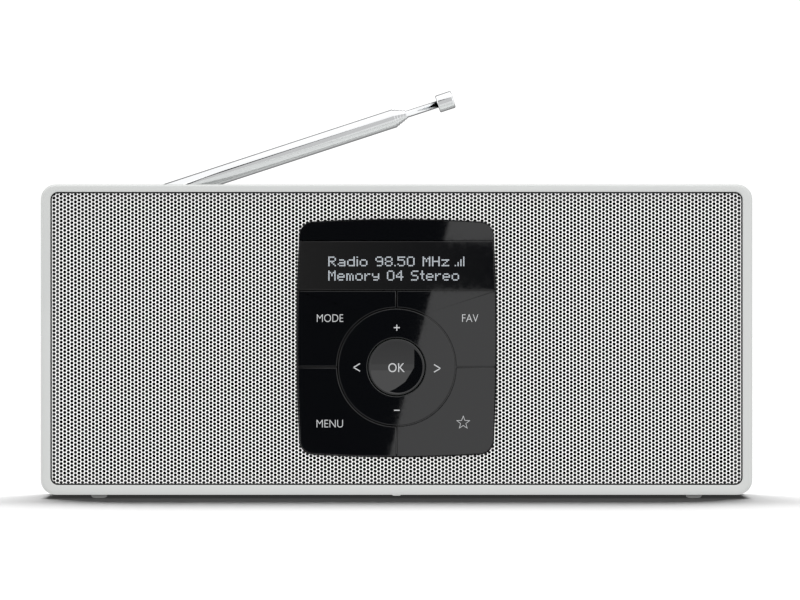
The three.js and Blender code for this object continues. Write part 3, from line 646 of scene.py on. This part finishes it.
def key_outline(side_x, side_z):
    """The outline of a corner key: the panel's edge, then back along the ring, seen from the front."""
    corner = np.array([side_x * SLIT / 2, RING_Z + side_z * SLIT / 2])
    limit = np.array([side_x, side_z], float)
    angle = np.linspace(0, np.pi / 2, 140)

    def off_key_space(p):
        return np.maximum(off_panel(p), p[..., 1] - KEYS_TOP)

    def towards(a):
        return np.stack([np.cos(a), np.sin(a)], -1) * limit

    if side_z > 0:
        level = np.array([[0, KEYS_TOP]])
        edge = march(level, np.array([[side_x, 0.0]]), off_panel)[0] - corner
        angle = np.sort(np.append(angle, math.atan2(abs(edge[1]), abs(edge[0]))))
    start = np.tile(corner, (len(angle), 1))
    outer = march(start, towards(angle), off_key_space)
    along = (towards(angle) * (corner - [0, RING_Z])).sum(1)
    short = np.sum((corner - [0, RING_Z]) ** 2)
    inner = start + towards(angle) * (-along + np.sqrt(along**2 - short + (RING_R + SLIT) ** 2))[:, None]
    loop = np.concatenate([outer, inner[::-1]])
    area = np.cross(loop, np.roll(loop, -1, 0)).sum()
    return loop if area > 0 else loop[::-1]


def slab(outline, front, back, radius):
    """A flat piece with a round front edge, its faces looking outward."""
    return turned_over(lofted(edge_rings(outline, front, back, radius), False))


def plunger(x, z, front, back):
    """The round pin behind a key that works its switch."""
    return turned_over(lofted(turned_rings([(1.5, front), (1.5, back - 0.2), (1.3, back)], x, z, 20), False))


PLUNGER_END = KEY_HIGH[1]
KEY_X, KEY_Z = 21.2, (PANEL_Z + 6.3, PANEL_Z - 26.8)
keys = {}
for name, side_x, side_z in (("mode_key", -1, 1), ("favourite_key", 1, 1), ("menu_key", -1, -1), ("star_key", 1, -1)):
    body = slab(key_outline(side_x, side_z), FACE_Y, KEY_BACK, EDGE_R)
    pin = plunger(side_x * KEY_X, KEY_Z[0 if side_z > 0 else 1], KEY_BACK - 0.4, PLUNGER_END)
    keys[name] = piece(name + "_cap", *joined(body, pin)[:2], PIANO, name, [name], joined(body, pin)[2])
print("keys:", {name: len(made.data.polygons) for name, made in keys.items()})

# %% Ring, centre button and window
def round_corner(r, y, radius, from_angle, to_angle, steps=5):
    """Points of a quarter circle in a turned profile, about the centre (r, y)."""
    angle = np.radians(np.linspace(from_angle, to_angle, steps))
    return [(r + radius * math.cos(a), y + radius * math.sin(a)) for a in angle]


def ring_shape():
    inner_r, thick = 9.2, 1.7
    e = EDGE_R
    profile = round_corner(inner_r + e, FACE_Y + e, e, 180, 270) + [(inner_r + e + 0.04, FACE_Y)]
    profile += [(RING_R - e - 0.04, FACE_Y)] + round_corner(RING_R - e, FACE_Y + e, e, 270, 360)
    profile += [(RING_R, FACE_Y + thick), (inner_r, FACE_Y + thick)]
    body = turned_over(lofted(turned_rings(profile, RING_X, RING_Z, 160), True))
    pins = [plunger(x, RING_Z + z, FACE_Y + thick - 0.3, PLUNGER_END)
            for x, z in ((13.8, 0), (-13.8, 0), (0, 13.8), (0, -13.8))]
    return joined(body, *pins)


DISH, DISH_R = 1.1, 8.3


def dish(r):
    """Depth of the button's face at a distance r from its middle: a shallow bowl."""
    return FACE_Y + DISH * (1 - np.minimum(r / DISH_R, 1) ** 2)


def button_shape():
    profile = [(0.02 + 8.2 * k / 28, dish(0.02 + 8.2 * k / 28)) for k in range(29)]
    profile += [(8.3, FACE_Y + 0.012), (8.42, FACE_Y), (8.62, FACE_Y)]
    profile += round_corner(OK_R - 0.25, FACE_Y + 0.25, 0.25, 290, 360)
    profile += [(OK_R, FACE_Y + 2)]
    return joined(turned_over(lofted(turned_rings(profile, RING_X, RING_Z, 128), False)),
                  plunger(RING_X, RING_Z, FACE_Y + 1.8, OK_HIGH[1]))


def window_shape():
    """The window: its ends follow the panel's bowed sides, top and bottom are straight."""
    z = np.linspace(WINDOW_LOW[2], WINDOW_HIGH[2], 24)
    start = np.stack([np.zeros(24), z], -1)
    right = march(start, np.tile([1.0, 0.0], (24, 1)), off_panel)
    left = right[::-1] * [-1, 1]
    return slab(np.concatenate([right, left]), FACE_Y, FACE_Y + 1.5, 0.15)


def smoked_window():
    """Tinted acrylic over the display, its colour painted a little lighter at its left: painted light, where light
    enters it.
    """
    made = new_finish("smoked_window", "glass", (0.01, 0.01, 0.0105), 0.02)
    nodes, links = made.node_tree.nodes, made.node_tree.links
    place = nodes.new("ShaderNodeTexCoord")
    apart = nodes.new("ShaderNodeSeparateXYZ")
    mapping = nodes.new("ShaderNodeMapRange")
    mapping.inputs["From Min"].default_value = WINDOW_LOW[0] * MM
    mapping.inputs["From Max"].default_value = WINDOW_HIGH[0] * MM
    ramp = nodes.new("ShaderNodeValToRGB")
    # painted light: the window's colour runs from lighter at its left to darker at its right
    ramp.color_ramp.elements[0].color = (0.0130, 0.0130, 0.0130, 1)
    ramp.color_ramp.elements[1].color = (0.0042, 0.0045, 0.0052, 1)
    links.new(place.outputs["Object"], apart.inputs["Vector"])
    links.new(apart.outputs["X"], mapping.inputs["Value"])
    links.new(mapping.outputs["Result"], ramp.inputs["Fac"])
    links.new(ramp.outputs["Color"], nodes["Principled BSDF"].inputs["Base Color"])
    spread(made, noise(made, 700, 3), 0.01, 0.03, "Roughness")
    return made


SMOKED_PAINTED_LIGHT = smoked_window()
points, faces, flat = ring_shape()
rocker = piece("rocker_cap", points, faces, PIANO, "rocker_ring", ["rocker_ring"], flat)
points, faces, flat = button_shape()
button = piece("ok_cap", points, faces, PIANO, "ok_button", ["ok_button"], flat)
points, faces, flat = window_shape()
window = piece("display_pane", points, faces, SMOKED_PAINTED_LIGHT, "cabinet", ["display_window"], flat)
print("ring, button, window:", [len(o.data.polygons) for o in (rocker, button, window)])

# %% [markdown]
# ## Printed legends
# The keys carry short words and signs in light grey print. Words come from Blender's own font,
# turned into a mesh and laid as a flat sheet three hundredths of a millimetre in front of the key. Each
# rides on its key, so it is pressed with it.

# %% Print
def printed(name, colour, slot="white"):
    made = new_finish(name, slot, colour, 0.5)
    tint(made, noise(made, 3000, 3), *shades(colour, 0.04))
    return made


PRINT = printed("grey_print", (0.50, 0.51, 0.52))


def words(text, height, width, x, z, thickness=0.0):
    """Points and faces of a word, its capitals of that height and fitted to that width, centred on x, z."""
    curve = bpy.data.curves.new("lettering", "FONT")
    curve.body = text
    curve.offset = thickness
    curve.resolution_u = 6
    drawn = bpy.data.objects.new("lettering", curve)
    bpy.context.scene.collection.objects.link(drawn)
    bpy.context.view_layer.update()
    mesh = bpy.data.meshes.new_from_object(drawn.evaluated_get(bpy.context.evaluated_depsgraph_get()))
    flat = np.zeros(len(mesh.vertices) * 3)
    mesh.vertices.foreach_get("co", flat)
    flat = flat.reshape(-1, 3)[:, :2]
    faces = [list(polygon.vertices) for polygon in mesh.polygons]
    bpy.data.objects.remove(drawn)
    bpy.data.meshes.remove(mesh)
    low, high = flat.min(0), flat.max(0)
    flat = (flat - (low + high) / 2) / (high - low) * [width, height] + [x, z]
    return flat, faces


def star(x, z, outer, line):
    """An outlined five-pointed star: two stars, one inside the other, joined by a strip."""
    angle = np.pi / 2 + np.arange(10) * np.pi / 5
    reach = np.where(np.arange(10) % 2 == 0, 1, 0.42)
    heading = np.stack([np.cos(angle), np.sin(angle)], -1) * reach[:, None]
    flat = np.concatenate([heading * outer, heading * (outer - line)]) + [x, z]
    k = np.arange(10)
    faces = np.stack([k, (k + 1) % 10, (k + 1) % 10 + 10, k + 10], -1)
    return flat, [list(f) for f in faces]


def strokes(x, z, lines, line):
    """Signs made of straight strokes: each is a thin rectangle from one point to another."""
    flat, faces = [], []
    for (ax, az), (bx, bz) in lines:
        a, b = np.array([ax, az], float), np.array([bx, bz], float)
        along = (b - a) / np.linalg.norm(b - a)
        across = np.array([-along[1], along[0]]) * line / 2
        flat += [a - across, b - across, b + across, a + across]
        faces.append([4 * len(faces) + n for n in range(4)])
    return np.array(flat) + [x, z], faces


def legend(name, shape, body, finish=PRINT, depth=lambda flat: np.full(len(flat), FACE_Y)):
    """Lays flat lettering on a surface, whose depth is given, and lets it ride on a body."""
    flat, faces = shape
    y = depth(flat)
    front = np.stack([flat[:, 0], y - 0.03, flat[:, 1]], -1)
    made = piece(name, front, faces, finish, body, flat=range(len(faces)))
    facing = np.zeros(len(made.data.polygons) * 3)
    made.data.polygons.foreach_get("normal", facing)
    if facing.reshape(-1, 3)[:, 1].mean() > 0:
        made.data.flip_normals()
    return made


def on_dish(flat):
    return dish(np.hypot(flat[:, 0] - RING_X, flat[:, 1] - RING_Z))


legend("mode_print", words("MODE", 2.4, 8.3, -20.9, 56.7, -0.012), "mode_key")
legend("favourite_print", words("FAV", 2.4, 5.1, 23.2, 56.7, -0.012), "favourite_key")
legend("menu_print", words("MENU", 2.4, 8.3, -21.0, 23.5, -0.012), "menu_key")
legend("star_print", star(21.0, 23.8, 2.3, 0.42), "star_key")
legend("ok_print", words("OK", 2.85, 5.2, 0, 41.1), "ok_button", depth=on_dish)
plus_strokes = [((-0.95, 0), (0.95, 0)), ((0, -0.95), (0, -0.16)), ((0, 0.16), (0, 0.95))]
legend("plus_print", strokes(0.1, 53.7, plus_strokes, 0.32), "rocker_ring")
legend("minus_print", strokes(0.1, 27.7, [((-0.9, 0), (0.9, 0))], 0.32), "rocker_ring")
legend("left_print", strokes(-12.5, 41.2, [((1.0, 1.2), (-1.0, 0)), ((-1.0, 0), (1.0, -1.2))], 0.32), "rocker_ring")
legend("right_print", strokes(12.8, 40.9, [((-1.0, 1.2), (1.0, 0)), ((1.0, 0), (-1.0, -1.2))], 0.32), "rocker_ring")
print("legends laid")

# %% [markdown]
# ## What the display says
# The display is a grid of small lit squares, seven rows to a line. Each letter is drawn here
# as rows of dots, so the words can be changed. The radio shows a station's frequency
# and a memory place.

# %% Lit dots
GLYPHS = {
    "R": "####. #...# #...# ####. #.#.. #..#. #...#",
    "M": "#...# ##.## #.#.# #.#.# #...# #...# #...#",
    "H": "#...# #...# #...# ##### #...# #...# #...#",
    "S": ".#### #.... #.... .###. ....# ....# ####.",
    "a": "..... ..... .###. ....# .#### #...# .####",
    "b": "#.... #.... ####. #...# #...# #...# ####.",
    "d": "....# ....# .#### #...# #...# #...# .####",
    "e": "..... ..... .###. #...# ##### #.... .###.",
    "i": "# . # # # # #",
    "m": "..... ..... ##.#. #.#.# #.#.# #.#.# #.#.#",
    "o": "..... ..... .###. #...# #...# #...# .###.",
    "r": ".... .... #.## ##.. #... #... #...",
    "t": ".#. .#. ### .#. .#. .#. ..#",
    "y": "..... ..... #...# #...# .#### ....# .###.",
    "z": "..... ..... ##### ...#. ..#.. .#... #####",
    "0": ".###. #...# #...# #...# #...# #...# .###.",
    "1": ".#. ##. .#. .#. .#. .#. ###",
    "4": "...#. ..##. .#.#. #..#. ##### ...#. ...#.",
    "5": "##### #.... ####. ....# ....# #...# .###.",
    "8": ".###. #...# #...# .###. #...# #...# .###.",
    "9": ".###. #...# #...# .#### ....# ....# .###.",
    ".": ". . . . . . #",
    " ": "... ... ... ... ... ... ...",
}


def dotted(text):
    """Rows and columns of the lit dots of a line of text."""
    rows = [[] for _ in range(7)]
    for letter in text:
        for row, part in zip(rows, GLYPHS[letter].split()):
            row.extend(part + ".")
    lit = np.array([[dot == "#" for dot in row] for row in rows])
    return np.argwhere(lit), lit.shape[1] - 1


def dot_faces(spots, left, top, pitch_x, pitch_z, size=0.86):
    """One small square for each lit dot."""
    centre = np.stack([left + (spots[:, 1] + 0.5) * pitch_x, top - (spots[:, 0] + 0.5) * pitch_z], -1)
    corner = np.array([[-1, -1], [1, -1], [1, 1], [-1, 1]]) * [pitch_x, pitch_z] * size / 2
    flat = (centre[:, None] + corner).reshape(-1, 2)
    return flat, np.arange(len(flat)).reshape(-1, 4).tolist()


def lit_dots():
    made = new_finish("lit_dots", "glass", (0.02, 0.02, 0.02), 0.4)
    shader = made.node_tree.nodes["Principled BSDF"]
    shader.inputs["Emission Color"].default_value = (0.86, 0.93, 1, 1)
    spread(made, noise(made, 1500, 2), 0.52, 0.6, "Emission Strength")
    return made


LIT = lit_dots()
for name, text, left, right, top, low in (("first_line", "Radio 98.50 MHz", -21.5, 16.6, 76.1, 73.0),
                                          ("second_line", "Memory 04 Stereo", -21.5, 19.7, 71.7, 68.5)):
    spots, columns = dotted(text)
    legend(name, dot_faces(spots, left, top, (right - left) / columns, (top - low) / 7), "cabinet", LIT)
bars = np.array([[row, 2 * bar] for bar in range(4) for row in range(6 - 2 * bar if bar < 3 else 0, 7)])
legend("signal_bars", dot_faces(bars, 18.3, 76.1, 0.44, 0.44), "cabinet", LIT)
print("display lines laid")

# %% [markdown]
# ## The telescopic aerial
# Each section is a drawn tube whose open end is rolled in a little to hold the next one. All of
# them lie on one line, which leaves the pivot at a shallow angle. A turned profile placed
# on that line gives each tube; the knob is a short turned cap. Fine profile steps at the
# ends matter, because chrome shows an edge only through what it reflects there.

# %% Aerial
pin_low, pin_high = span("aerial_pin")
PIVOT = (pin_low + pin_high) / 2
LIFT = math.radians(18.1)
ALONG = np.array([math.cos(LIFT), 0, math.sin(LIFT)])
ACROSS = np.array([-math.sin(LIFT), 0, math.cos(LIFT)])
TUBES, TUBE_R, ROD_R = 5, 3.0, 1.15
TUBE_END, TUBE_STEP, TIP, KNOB_LONG, KNOB_R = 99.4, 0.95, 119.1, 5.25, 2.85


def on_aerial(profile, around=72):
    """A turned shape about the aerial's line: PIVOT + s ALONG + r (cos a Y + sin a ACROSS)."""
    angle = np.linspace(0, 2 * np.pi, around, endpoint=False)
    profile = np.asarray(profile, float)
    out = np.cos(angle)[:, None] * np.array([0, 1, 0]) + np.sin(angle)[:, None] * ACROSS
    rings = PIVOT + profile[:, 1, None, None] * ALONG + profile[:, 0, None, None] * out
    return rings


def rolled_end(r, end, turn=0.22):
    """The end of a tube, rolled in: a quarter circle from the outside to its mouth."""
    angle = np.linspace(0, np.pi / 2, 6)
    return [(r - turn * (1 - math.cos(a)), end - turn * (1 - math.sin(a))) for a in angle]


def outward(shape):
    """The shape with its faces listed so that its volume comes out above zero."""
    points, faces, flat = shape
    first = np.array([points[f[0]] for f in faces])
    volume = 0.0
    for size in {len(f) for f in faces}:
        chosen = np.array([f for f in faces if len(f) == size])
        corners = points[chosen]
        for k in range(1, size - 1):
            volume += np.einsum("ij,ij->", corners[:, 0], np.cross(corners[:, k], corners[:, k + 1]))
    return shape if volume > 0 else turned_over(shape)


def tongue():
    """The flat tongue that the first tube turns on: a round-ended strip between the ears of the base."""
    angle = np.linspace(np.pi / 2, 3 * np.pi / 2, 24)
    outline = np.concatenate([np.stack([2.3 * np.cos(angle), 2.3 * np.sin(angle)], -1), [[5.2, -2.3], [5.2, 2.3]]])
    rings = [PIVOT + outline[:, :1] * ALONG + outline[:, 1:] * np.array([0, 1, 0]) + t * ACROSS for t in (-1.2, 1.2)]
    return outward(lofted(rings, False))


aerial_parts = []
for k in range(TUBES):
    r, end = TUBE_R - k * (TUBE_R - ROD_R) / TUBES, TUBE_END + k * TUBE_STEP
    start = 4.6 if k == 0 else 7.0
    bore = r - 0.2
    profile = [(r, start + 0.3)] + rolled_end(r, end) + [(bore, end), (bore, start + 1.8)]
    if k == 0:
        profile = [(0.05, start), (r - 0.3, start)] + profile + [(0.05, start + 1.8)]
        shape = joined(outward(lofted(on_aerial(profile), False)), tongue())
    else:
        profile = [(bore, start), (r, start)] + profile[:-1]
        shape = outward(lofted(on_aerial(profile), True))
    node = f"aerial_tube_{k + 1}"
    aerial_parts.append(piece(f"tube_section_{k + 1}", shape[0], shape[1], CHROME, node, [node], shape[2]))

start = TIP - KNOB_LONG
rod = outward(lofted(on_aerial([(0.05, 7.0), (ROD_R, 7.0), (ROD_R, start + 3), (0.05, start + 3)], 48), False))
aerial_parts.append(piece("rod_section", rod[0], rod[1], CHROME, "aerial_rod", ["aerial_rod"], rod[2]))
cap = [(1.25, start), (KNOB_R - 0.35, start), (KNOB_R - 0.1, start + 0.1), (KNOB_R, start + 0.35)]
cap += [(KNOB_R, TIP - 0.5)] + [(KNOB_R - 0.5 * (1 - math.cos(a)), TIP - 0.5 * (1 - math.sin(a)))
                                for a in np.linspace(0.1, np.pi / 2, 7)] + [(0.05, TIP), (0.05, start + 3.3), (1.25, start + 3.3)]
knob = outward(lofted(on_aerial(cap), True))
aerial_parts.append(piece("pull_knob", knob[0], knob[1], CHROME, "aerial_rod", ["aerial_knob"], knob[2]))
print("aerial pieces:", [o.name for o in aerial_parts])

# %% [markdown]
# ## Feet and battery door
# Four soft feet are low turned domes. The battery door is a flat plate with a round edge, a
# latch tab at its top, and ribs for the thumb. It rides on its own body, so it can open.

# %% Feet and battery door
for node in [n for n in frame["nodes"] if n.startswith("foot_")]:
    low, high = span(node)
    middle, tall, r = (low + high) / 2, high[2] - low[2], (high[0] - low[0]) / 2
    dome = [(0.05, 0), (1.5, 0)] + [(1.5 + (r - 1.5) * math.sin(a), 0.8 * (1 - math.cos(a)))
                                     for a in np.linspace(0.25, np.pi / 2, 7)] + [(r, tall), (0.05, tall)]
    rings = turned_rings(dome, 0, 0, 40)
    rings = np.stack([rings[..., 0] + middle[0], rings[..., 2] + middle[1], rings[..., 1] + low[2]], -1)
    shape = outward(lofted(rings, False))
    piece(node + "_pad", shape[0], shape[1], RUBBER, "cabinet", [node], shape[2])

DOOR_LOW, DOOR_HIGH = span("battery_door")


def door_outline(per_corner=8):
    """A rectangle with round corners and a tab in the middle of its top edge."""
    top = DOOR_HIGH[2] - 3.2
    ring = frame_ring(DOOR_HIGH[0], DOOR_LOW[2], top, 1.2, 0, per_corner)[:, [0, 2]]
    tab = np.array([[8.0, top], [8.0, DOOR_HIGH[2]], [-8.0, DOOR_HIGH[2]], [-8.0, top]])
    return np.concatenate([ring[:per_corner], tab, ring[per_corner:]])


def door():
    """The plate, its round edge to the back, and seven ribs below the latch."""
    plate = edge_rings(door_outline(), 0, DOOR_HIGH[1] - DOOR_LOW[1] - 0.35, 0.25)
    plate[..., 1] = DOOR_HIGH[1] - 0.35 - plate[..., 1]
    shapes = [outward(lofted(plate, False))]
    for k in range(7):
        z = DOOR_HIGH[2] - 6 - 1.1 * k
        half = 7.5 - 0.5 * k
        angle = np.linspace(0, np.pi, 7)
        section = np.stack([0.3 * np.cos(angle), 0.34 * np.sin(angle)], -1)
        ends = np.array([-half, half])
        rings = np.stack([np.broadcast_to(ends[:, None], (2, 7)),
                          DOOR_HIGH[1] - 0.36 + np.broadcast_to(section[:, 1], (2, 7)),
                          z + np.broadcast_to(section[:, 0], (2, 7))], -1)
        shapes.append(outward(lofted(rings, False)))
    return joined(*shapes)


shape = door()
piece("ribbed_door", shape[0], shape[1], SILVER, "battery_door", ["battery_door"], shape[2])
print("feet and door made")

# %% [markdown]
# ## The solids that stay
# Screws, boards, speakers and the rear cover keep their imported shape. Their triangles are
# welded for display by a modifier, a narrow bevel rounds their edges, and each gets the
# finish that its record slot names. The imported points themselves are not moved.

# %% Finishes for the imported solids
FINISHES = {"silver": SILVER, "white": WHITE, "cloth": BLACK, "black": BLACK, "gloss": PIANO, "glass": SMOKED_PAINTED_LIGHT,
            "rubber": RUBBER, "silicone": SILICONE, "board": BOARD, "steel": STEEL, "chrome": CHROME,
            "paper": PAPER, "aluminium": ALUMINIUM, "wire": WIRE, "ribbon": RIBBON}
slot_of = {part["node"]: part["material_slot"] for part in frame["record"]["subparts"]}


def soften(node_object, finish, width):
    """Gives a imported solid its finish, smooth shading and a narrow bevel, by modifiers alone."""
    mesh = node_object.data
    mesh.materials.clear()
    mesh.materials.append(finish)
    mesh.polygons.foreach_set("use_smooth", np.full(len(mesh.polygons), node_object.name != "panel_carrier"))
    weld = node_object.modifiers.new("weld", "WELD")
    weld.merge_threshold = 0.000002
    bevel = node_object.modifiers.new("round", "BEVEL")
    bevel.width = width
    bevel.segments = 2
    bevel.limit_method = "ANGLE"
    bevel.angle_limit = math.radians(38)
    bevel.harden_normals = node_object.name != "panel_carrier"


BEVELS = {"rear_cover": 0.00025, "panel_carrier": 0.00012}
kept = [o for o in frame["nodes"].values() if not o.hide_render]
for node_object in kept:
    soften(node_object, FINISHES[slot_of[node_object.name]], BEVELS.get(node_object.name, 0.0001))
print("kept solids:", len(kept))

# %% [markdown]
# ## Studio
# An even white surround gives soft light. The floor is dark, and one strong, broad sun behind the
# radio lights the floor alone: it looks white, and its shadow falls forward and fades.
# Gloss is drawn by what it reflects, so shiny parts look into a cove of their own: grey
# bands below, a dark wall behind, dark cards for the flat panel and the dished button, and a
# grey card beside the aerial.

# %% Camera
CAMERA_X, CAMERA_Z = 1.1, 62.4
REACH, FIELD = 2000.0, 251.7

camera_data = bpy.data.cameras.new("camera")
camera_data.sensor_width = 36
camera_data.lens = 36 * REACH / FIELD
camera_data.clip_start, camera_data.clip_end = 0.05, 30
camera = bpy.data.objects.new("camera", camera_data)
camera.location = (CAMERA_X * MM, (FRONT_Y - REACH) * MM, CAMERA_Z * MM)
camera.rotation_euler = (math.pi / 2, 0, 0)
bpy.context.scene.collection.objects.link(camera)
bpy.context.scene.camera = camera
print("camera at", [round(v, 3) for v in camera.location], "lens", round(camera_data.lens, 1))

# %% Floor and light
def stage_card(name, points, faces, colour, roughness=1.0):
    """A flat thing that belongs to the studio, in millimetres."""
    mesh = bpy.data.meshes.new(name)
    mesh.from_pydata((np.asarray(points, float) * MM).tolist(), [], [list(map(int, f)) for f in faces])
    made = bpy.data.objects.new(name, mesh)
    bpy.context.scene.collection.objects.link(made)
    finish = bpy.data.materials.new(name)
    finish.use_nodes = True
    shader = finish.node_tree.nodes["Principled BSDF"]
    shader.inputs["Base Color"].default_value = (*colour, 1)
    shader.inputs["Roughness"].default_value = roughness
    shader.inputs["Specular IOR Level"].default_value = 0.0
    mesh.materials.append(finish)
    return made


floor = stage_card("floor", [(-9000, -9000, 0), (9000, -9000, 0), (9000, 9000, 0), (-9000, 9000, 0)],
                   [(0, 1, 2, 3)], (0.06, 0.06, 0.06))
floor.visible_diffuse = False
floor.visible_glossy = False
world = bpy.data.worlds.new("white_room")
world.use_nodes = True
world.node_tree.nodes["Background"].inputs["Color"].default_value = (1, 1, 1, 1)
world.node_tree.nodes["Background"].inputs["Strength"].default_value = 1.12
bpy.context.scene.world = world

on_floor_only = bpy.data.collections.new("floor_only")
bpy.context.scene.collection.children.link(on_floor_only)
on_floor_only.objects.link(floor)
sun_data = bpy.data.lights.new("back_sun", "SUN")
sun_data.energy = 72
sun_data.angle = math.radians(42)
sun = bpy.data.objects.new("back_sun", sun_data)
sun.rotation_euler = (-math.radians(39.5), 0, 0)
sun.light_linking.receiver_collection = on_floor_only
bpy.context.scene.collection.objects.link(sun)

softbox_data = bpy.data.lights.new("softbox", "AREA")
softbox_data.shape = "RECTANGLE"
softbox_data.size, softbox_data.size_y = 1.6, 1.0
softbox_data.energy = 6
softbox = bpy.data.objects.new("softbox", softbox_data)
softbox.location = (0, -0.25, 1.3)
softbox.rotation_euler = (-math.radians(10), 0, 0)
bpy.context.scene.collection.objects.link(softbox)
bpy.context.scene.view_settings.view_transform = "Standard"

# %% Cards for reflections
def boundary(z):
    """Where the dark reflection on the flat panel ends, at a height z: a line that leans 14 degrees."""
    return -2.1 + 0.2535 * (z - 13.6)


def seen_at(x, z, distance):
    """Where a flat mirror at the panel's face sends the camera's ray, after that distance in front of it."""
    far = 1 + distance / REACH
    return CAMERA_X + (x - CAMERA_X) * far, CAMERA_Z + (z - CAMERA_Z) * far


def reflected_card(name, points, faces, glow=0.0):
    """A card of even brightness that only reflections can see."""
    card = stage_card(name, points, faces, (0, 0, 0))
    shader = card.data.materials[0].node_tree.nodes["Principled BSDF"]
    shader.inputs["Emission Color"].default_value = (1, 1, 1, 1)
    shader.inputs["Emission Strength"].default_value = glow
    card.visible_camera = False
    card.visible_diffuse = False
    card.visible_shadow = False
    card.visible_transmission = False
    card.visible_volume_scatter = False
    return card


FAR = 2400.0


def far_card(corners):
    """Corners on the panel, as points of a card that stands at the far distance."""
    corners = np.array(corners, float)
    x, z = seen_at(corners[:, 0], corners[:, 1], FAR)
    return np.stack([x, np.full(len(x), FRONT_Y - FAR), z], -1)


low, high = WINDOW_LOW[2] - 0.05, WINDOW_HIGH[2] + 0.05
reflected_card("left_card", far_card([(-34, 9), (boundary(9), 9), (boundary(95), 95), (-34, 95)]), [(0, 1, 2, 3)])
reflected_card("window_card", far_card([(boundary(low), low), (34, low), (34, high), (boundary(high), high)]),
               [(0, 1, 2, 3)])


def cove(name, start, end, glow, radius=3000.0, half=6000.0, pieces=12):
    """A band of the cove round the X axis, between two angles below the horizon: (x, -r cos t, -r sin t)."""
    t = np.radians(np.linspace(start, end, pieces + 1))
    x = np.array([-half, half])
    rings = np.stack(np.broadcast_arrays(x[None], -radius * np.cos(t)[:, None], -radius * np.sin(t)[:, None]), -1)
    k = np.arange(pieces) * 2
    return reflected_card(name, rings.reshape(-1, 3), np.stack([k, k + 1, k + 3, k + 2], -1), glow)


for step in range(12):
    cove(f"cove_floor_{step + 1}", 3 + 3 * step, 6 + 3 * step, 0.94 - 0.022 * step, pieces=2)
cove("cove_dark_line", 39, 45, 0.02)
cove("cove_under", 45, 100, 0.78)
cove("cove_under_back", 100, 128, 0.45)
cove("cove_low_back", 128, 180, 0.22)
cove("cove_back", 180, 229, 0.25)
cove("cove_front_glow", -32, -4, 1.5)


def towards_dish(azimuth, elevation, distance=FAR):
    """A point seen from the button at those angles, to the right and up, on the far plane."""
    a, e = math.radians(azimuth), math.radians(elevation)
    return (distance * math.tan(a), FRONT_Y - distance, RING_Z + distance * math.tan(e) / math.cos(a))


dish_outline = ((-20.7, -24), (-19.8, 0), (-10, 16), (2, 24), (12.8, 27.5), (12.8, 30), (-42, 30), (-42, -24))
reflected_card("dish_card", [towards_dish(*p) for p in dish_outline], [range(len(dish_outline))])


def beside_aerial(y, start, end, low, high):
    """Corners of a strip at the depth y, low to high above the aerial's line between two places in X."""
    line = PIVOT[2] + (np.array([start, end]) - PIVOT[0]) * math.tan(LIFT)
    return [(start, y, line[0] + low), (end, y, line[1] + low), (end, y, line[1] + high), (start, y, line[0] + high)]


reflected_card("aerial_grey_card", beside_aerial(-60, -120, 60, -23, 48), [(0, 1, 2, 3)], 0.62)
print("studio ready")
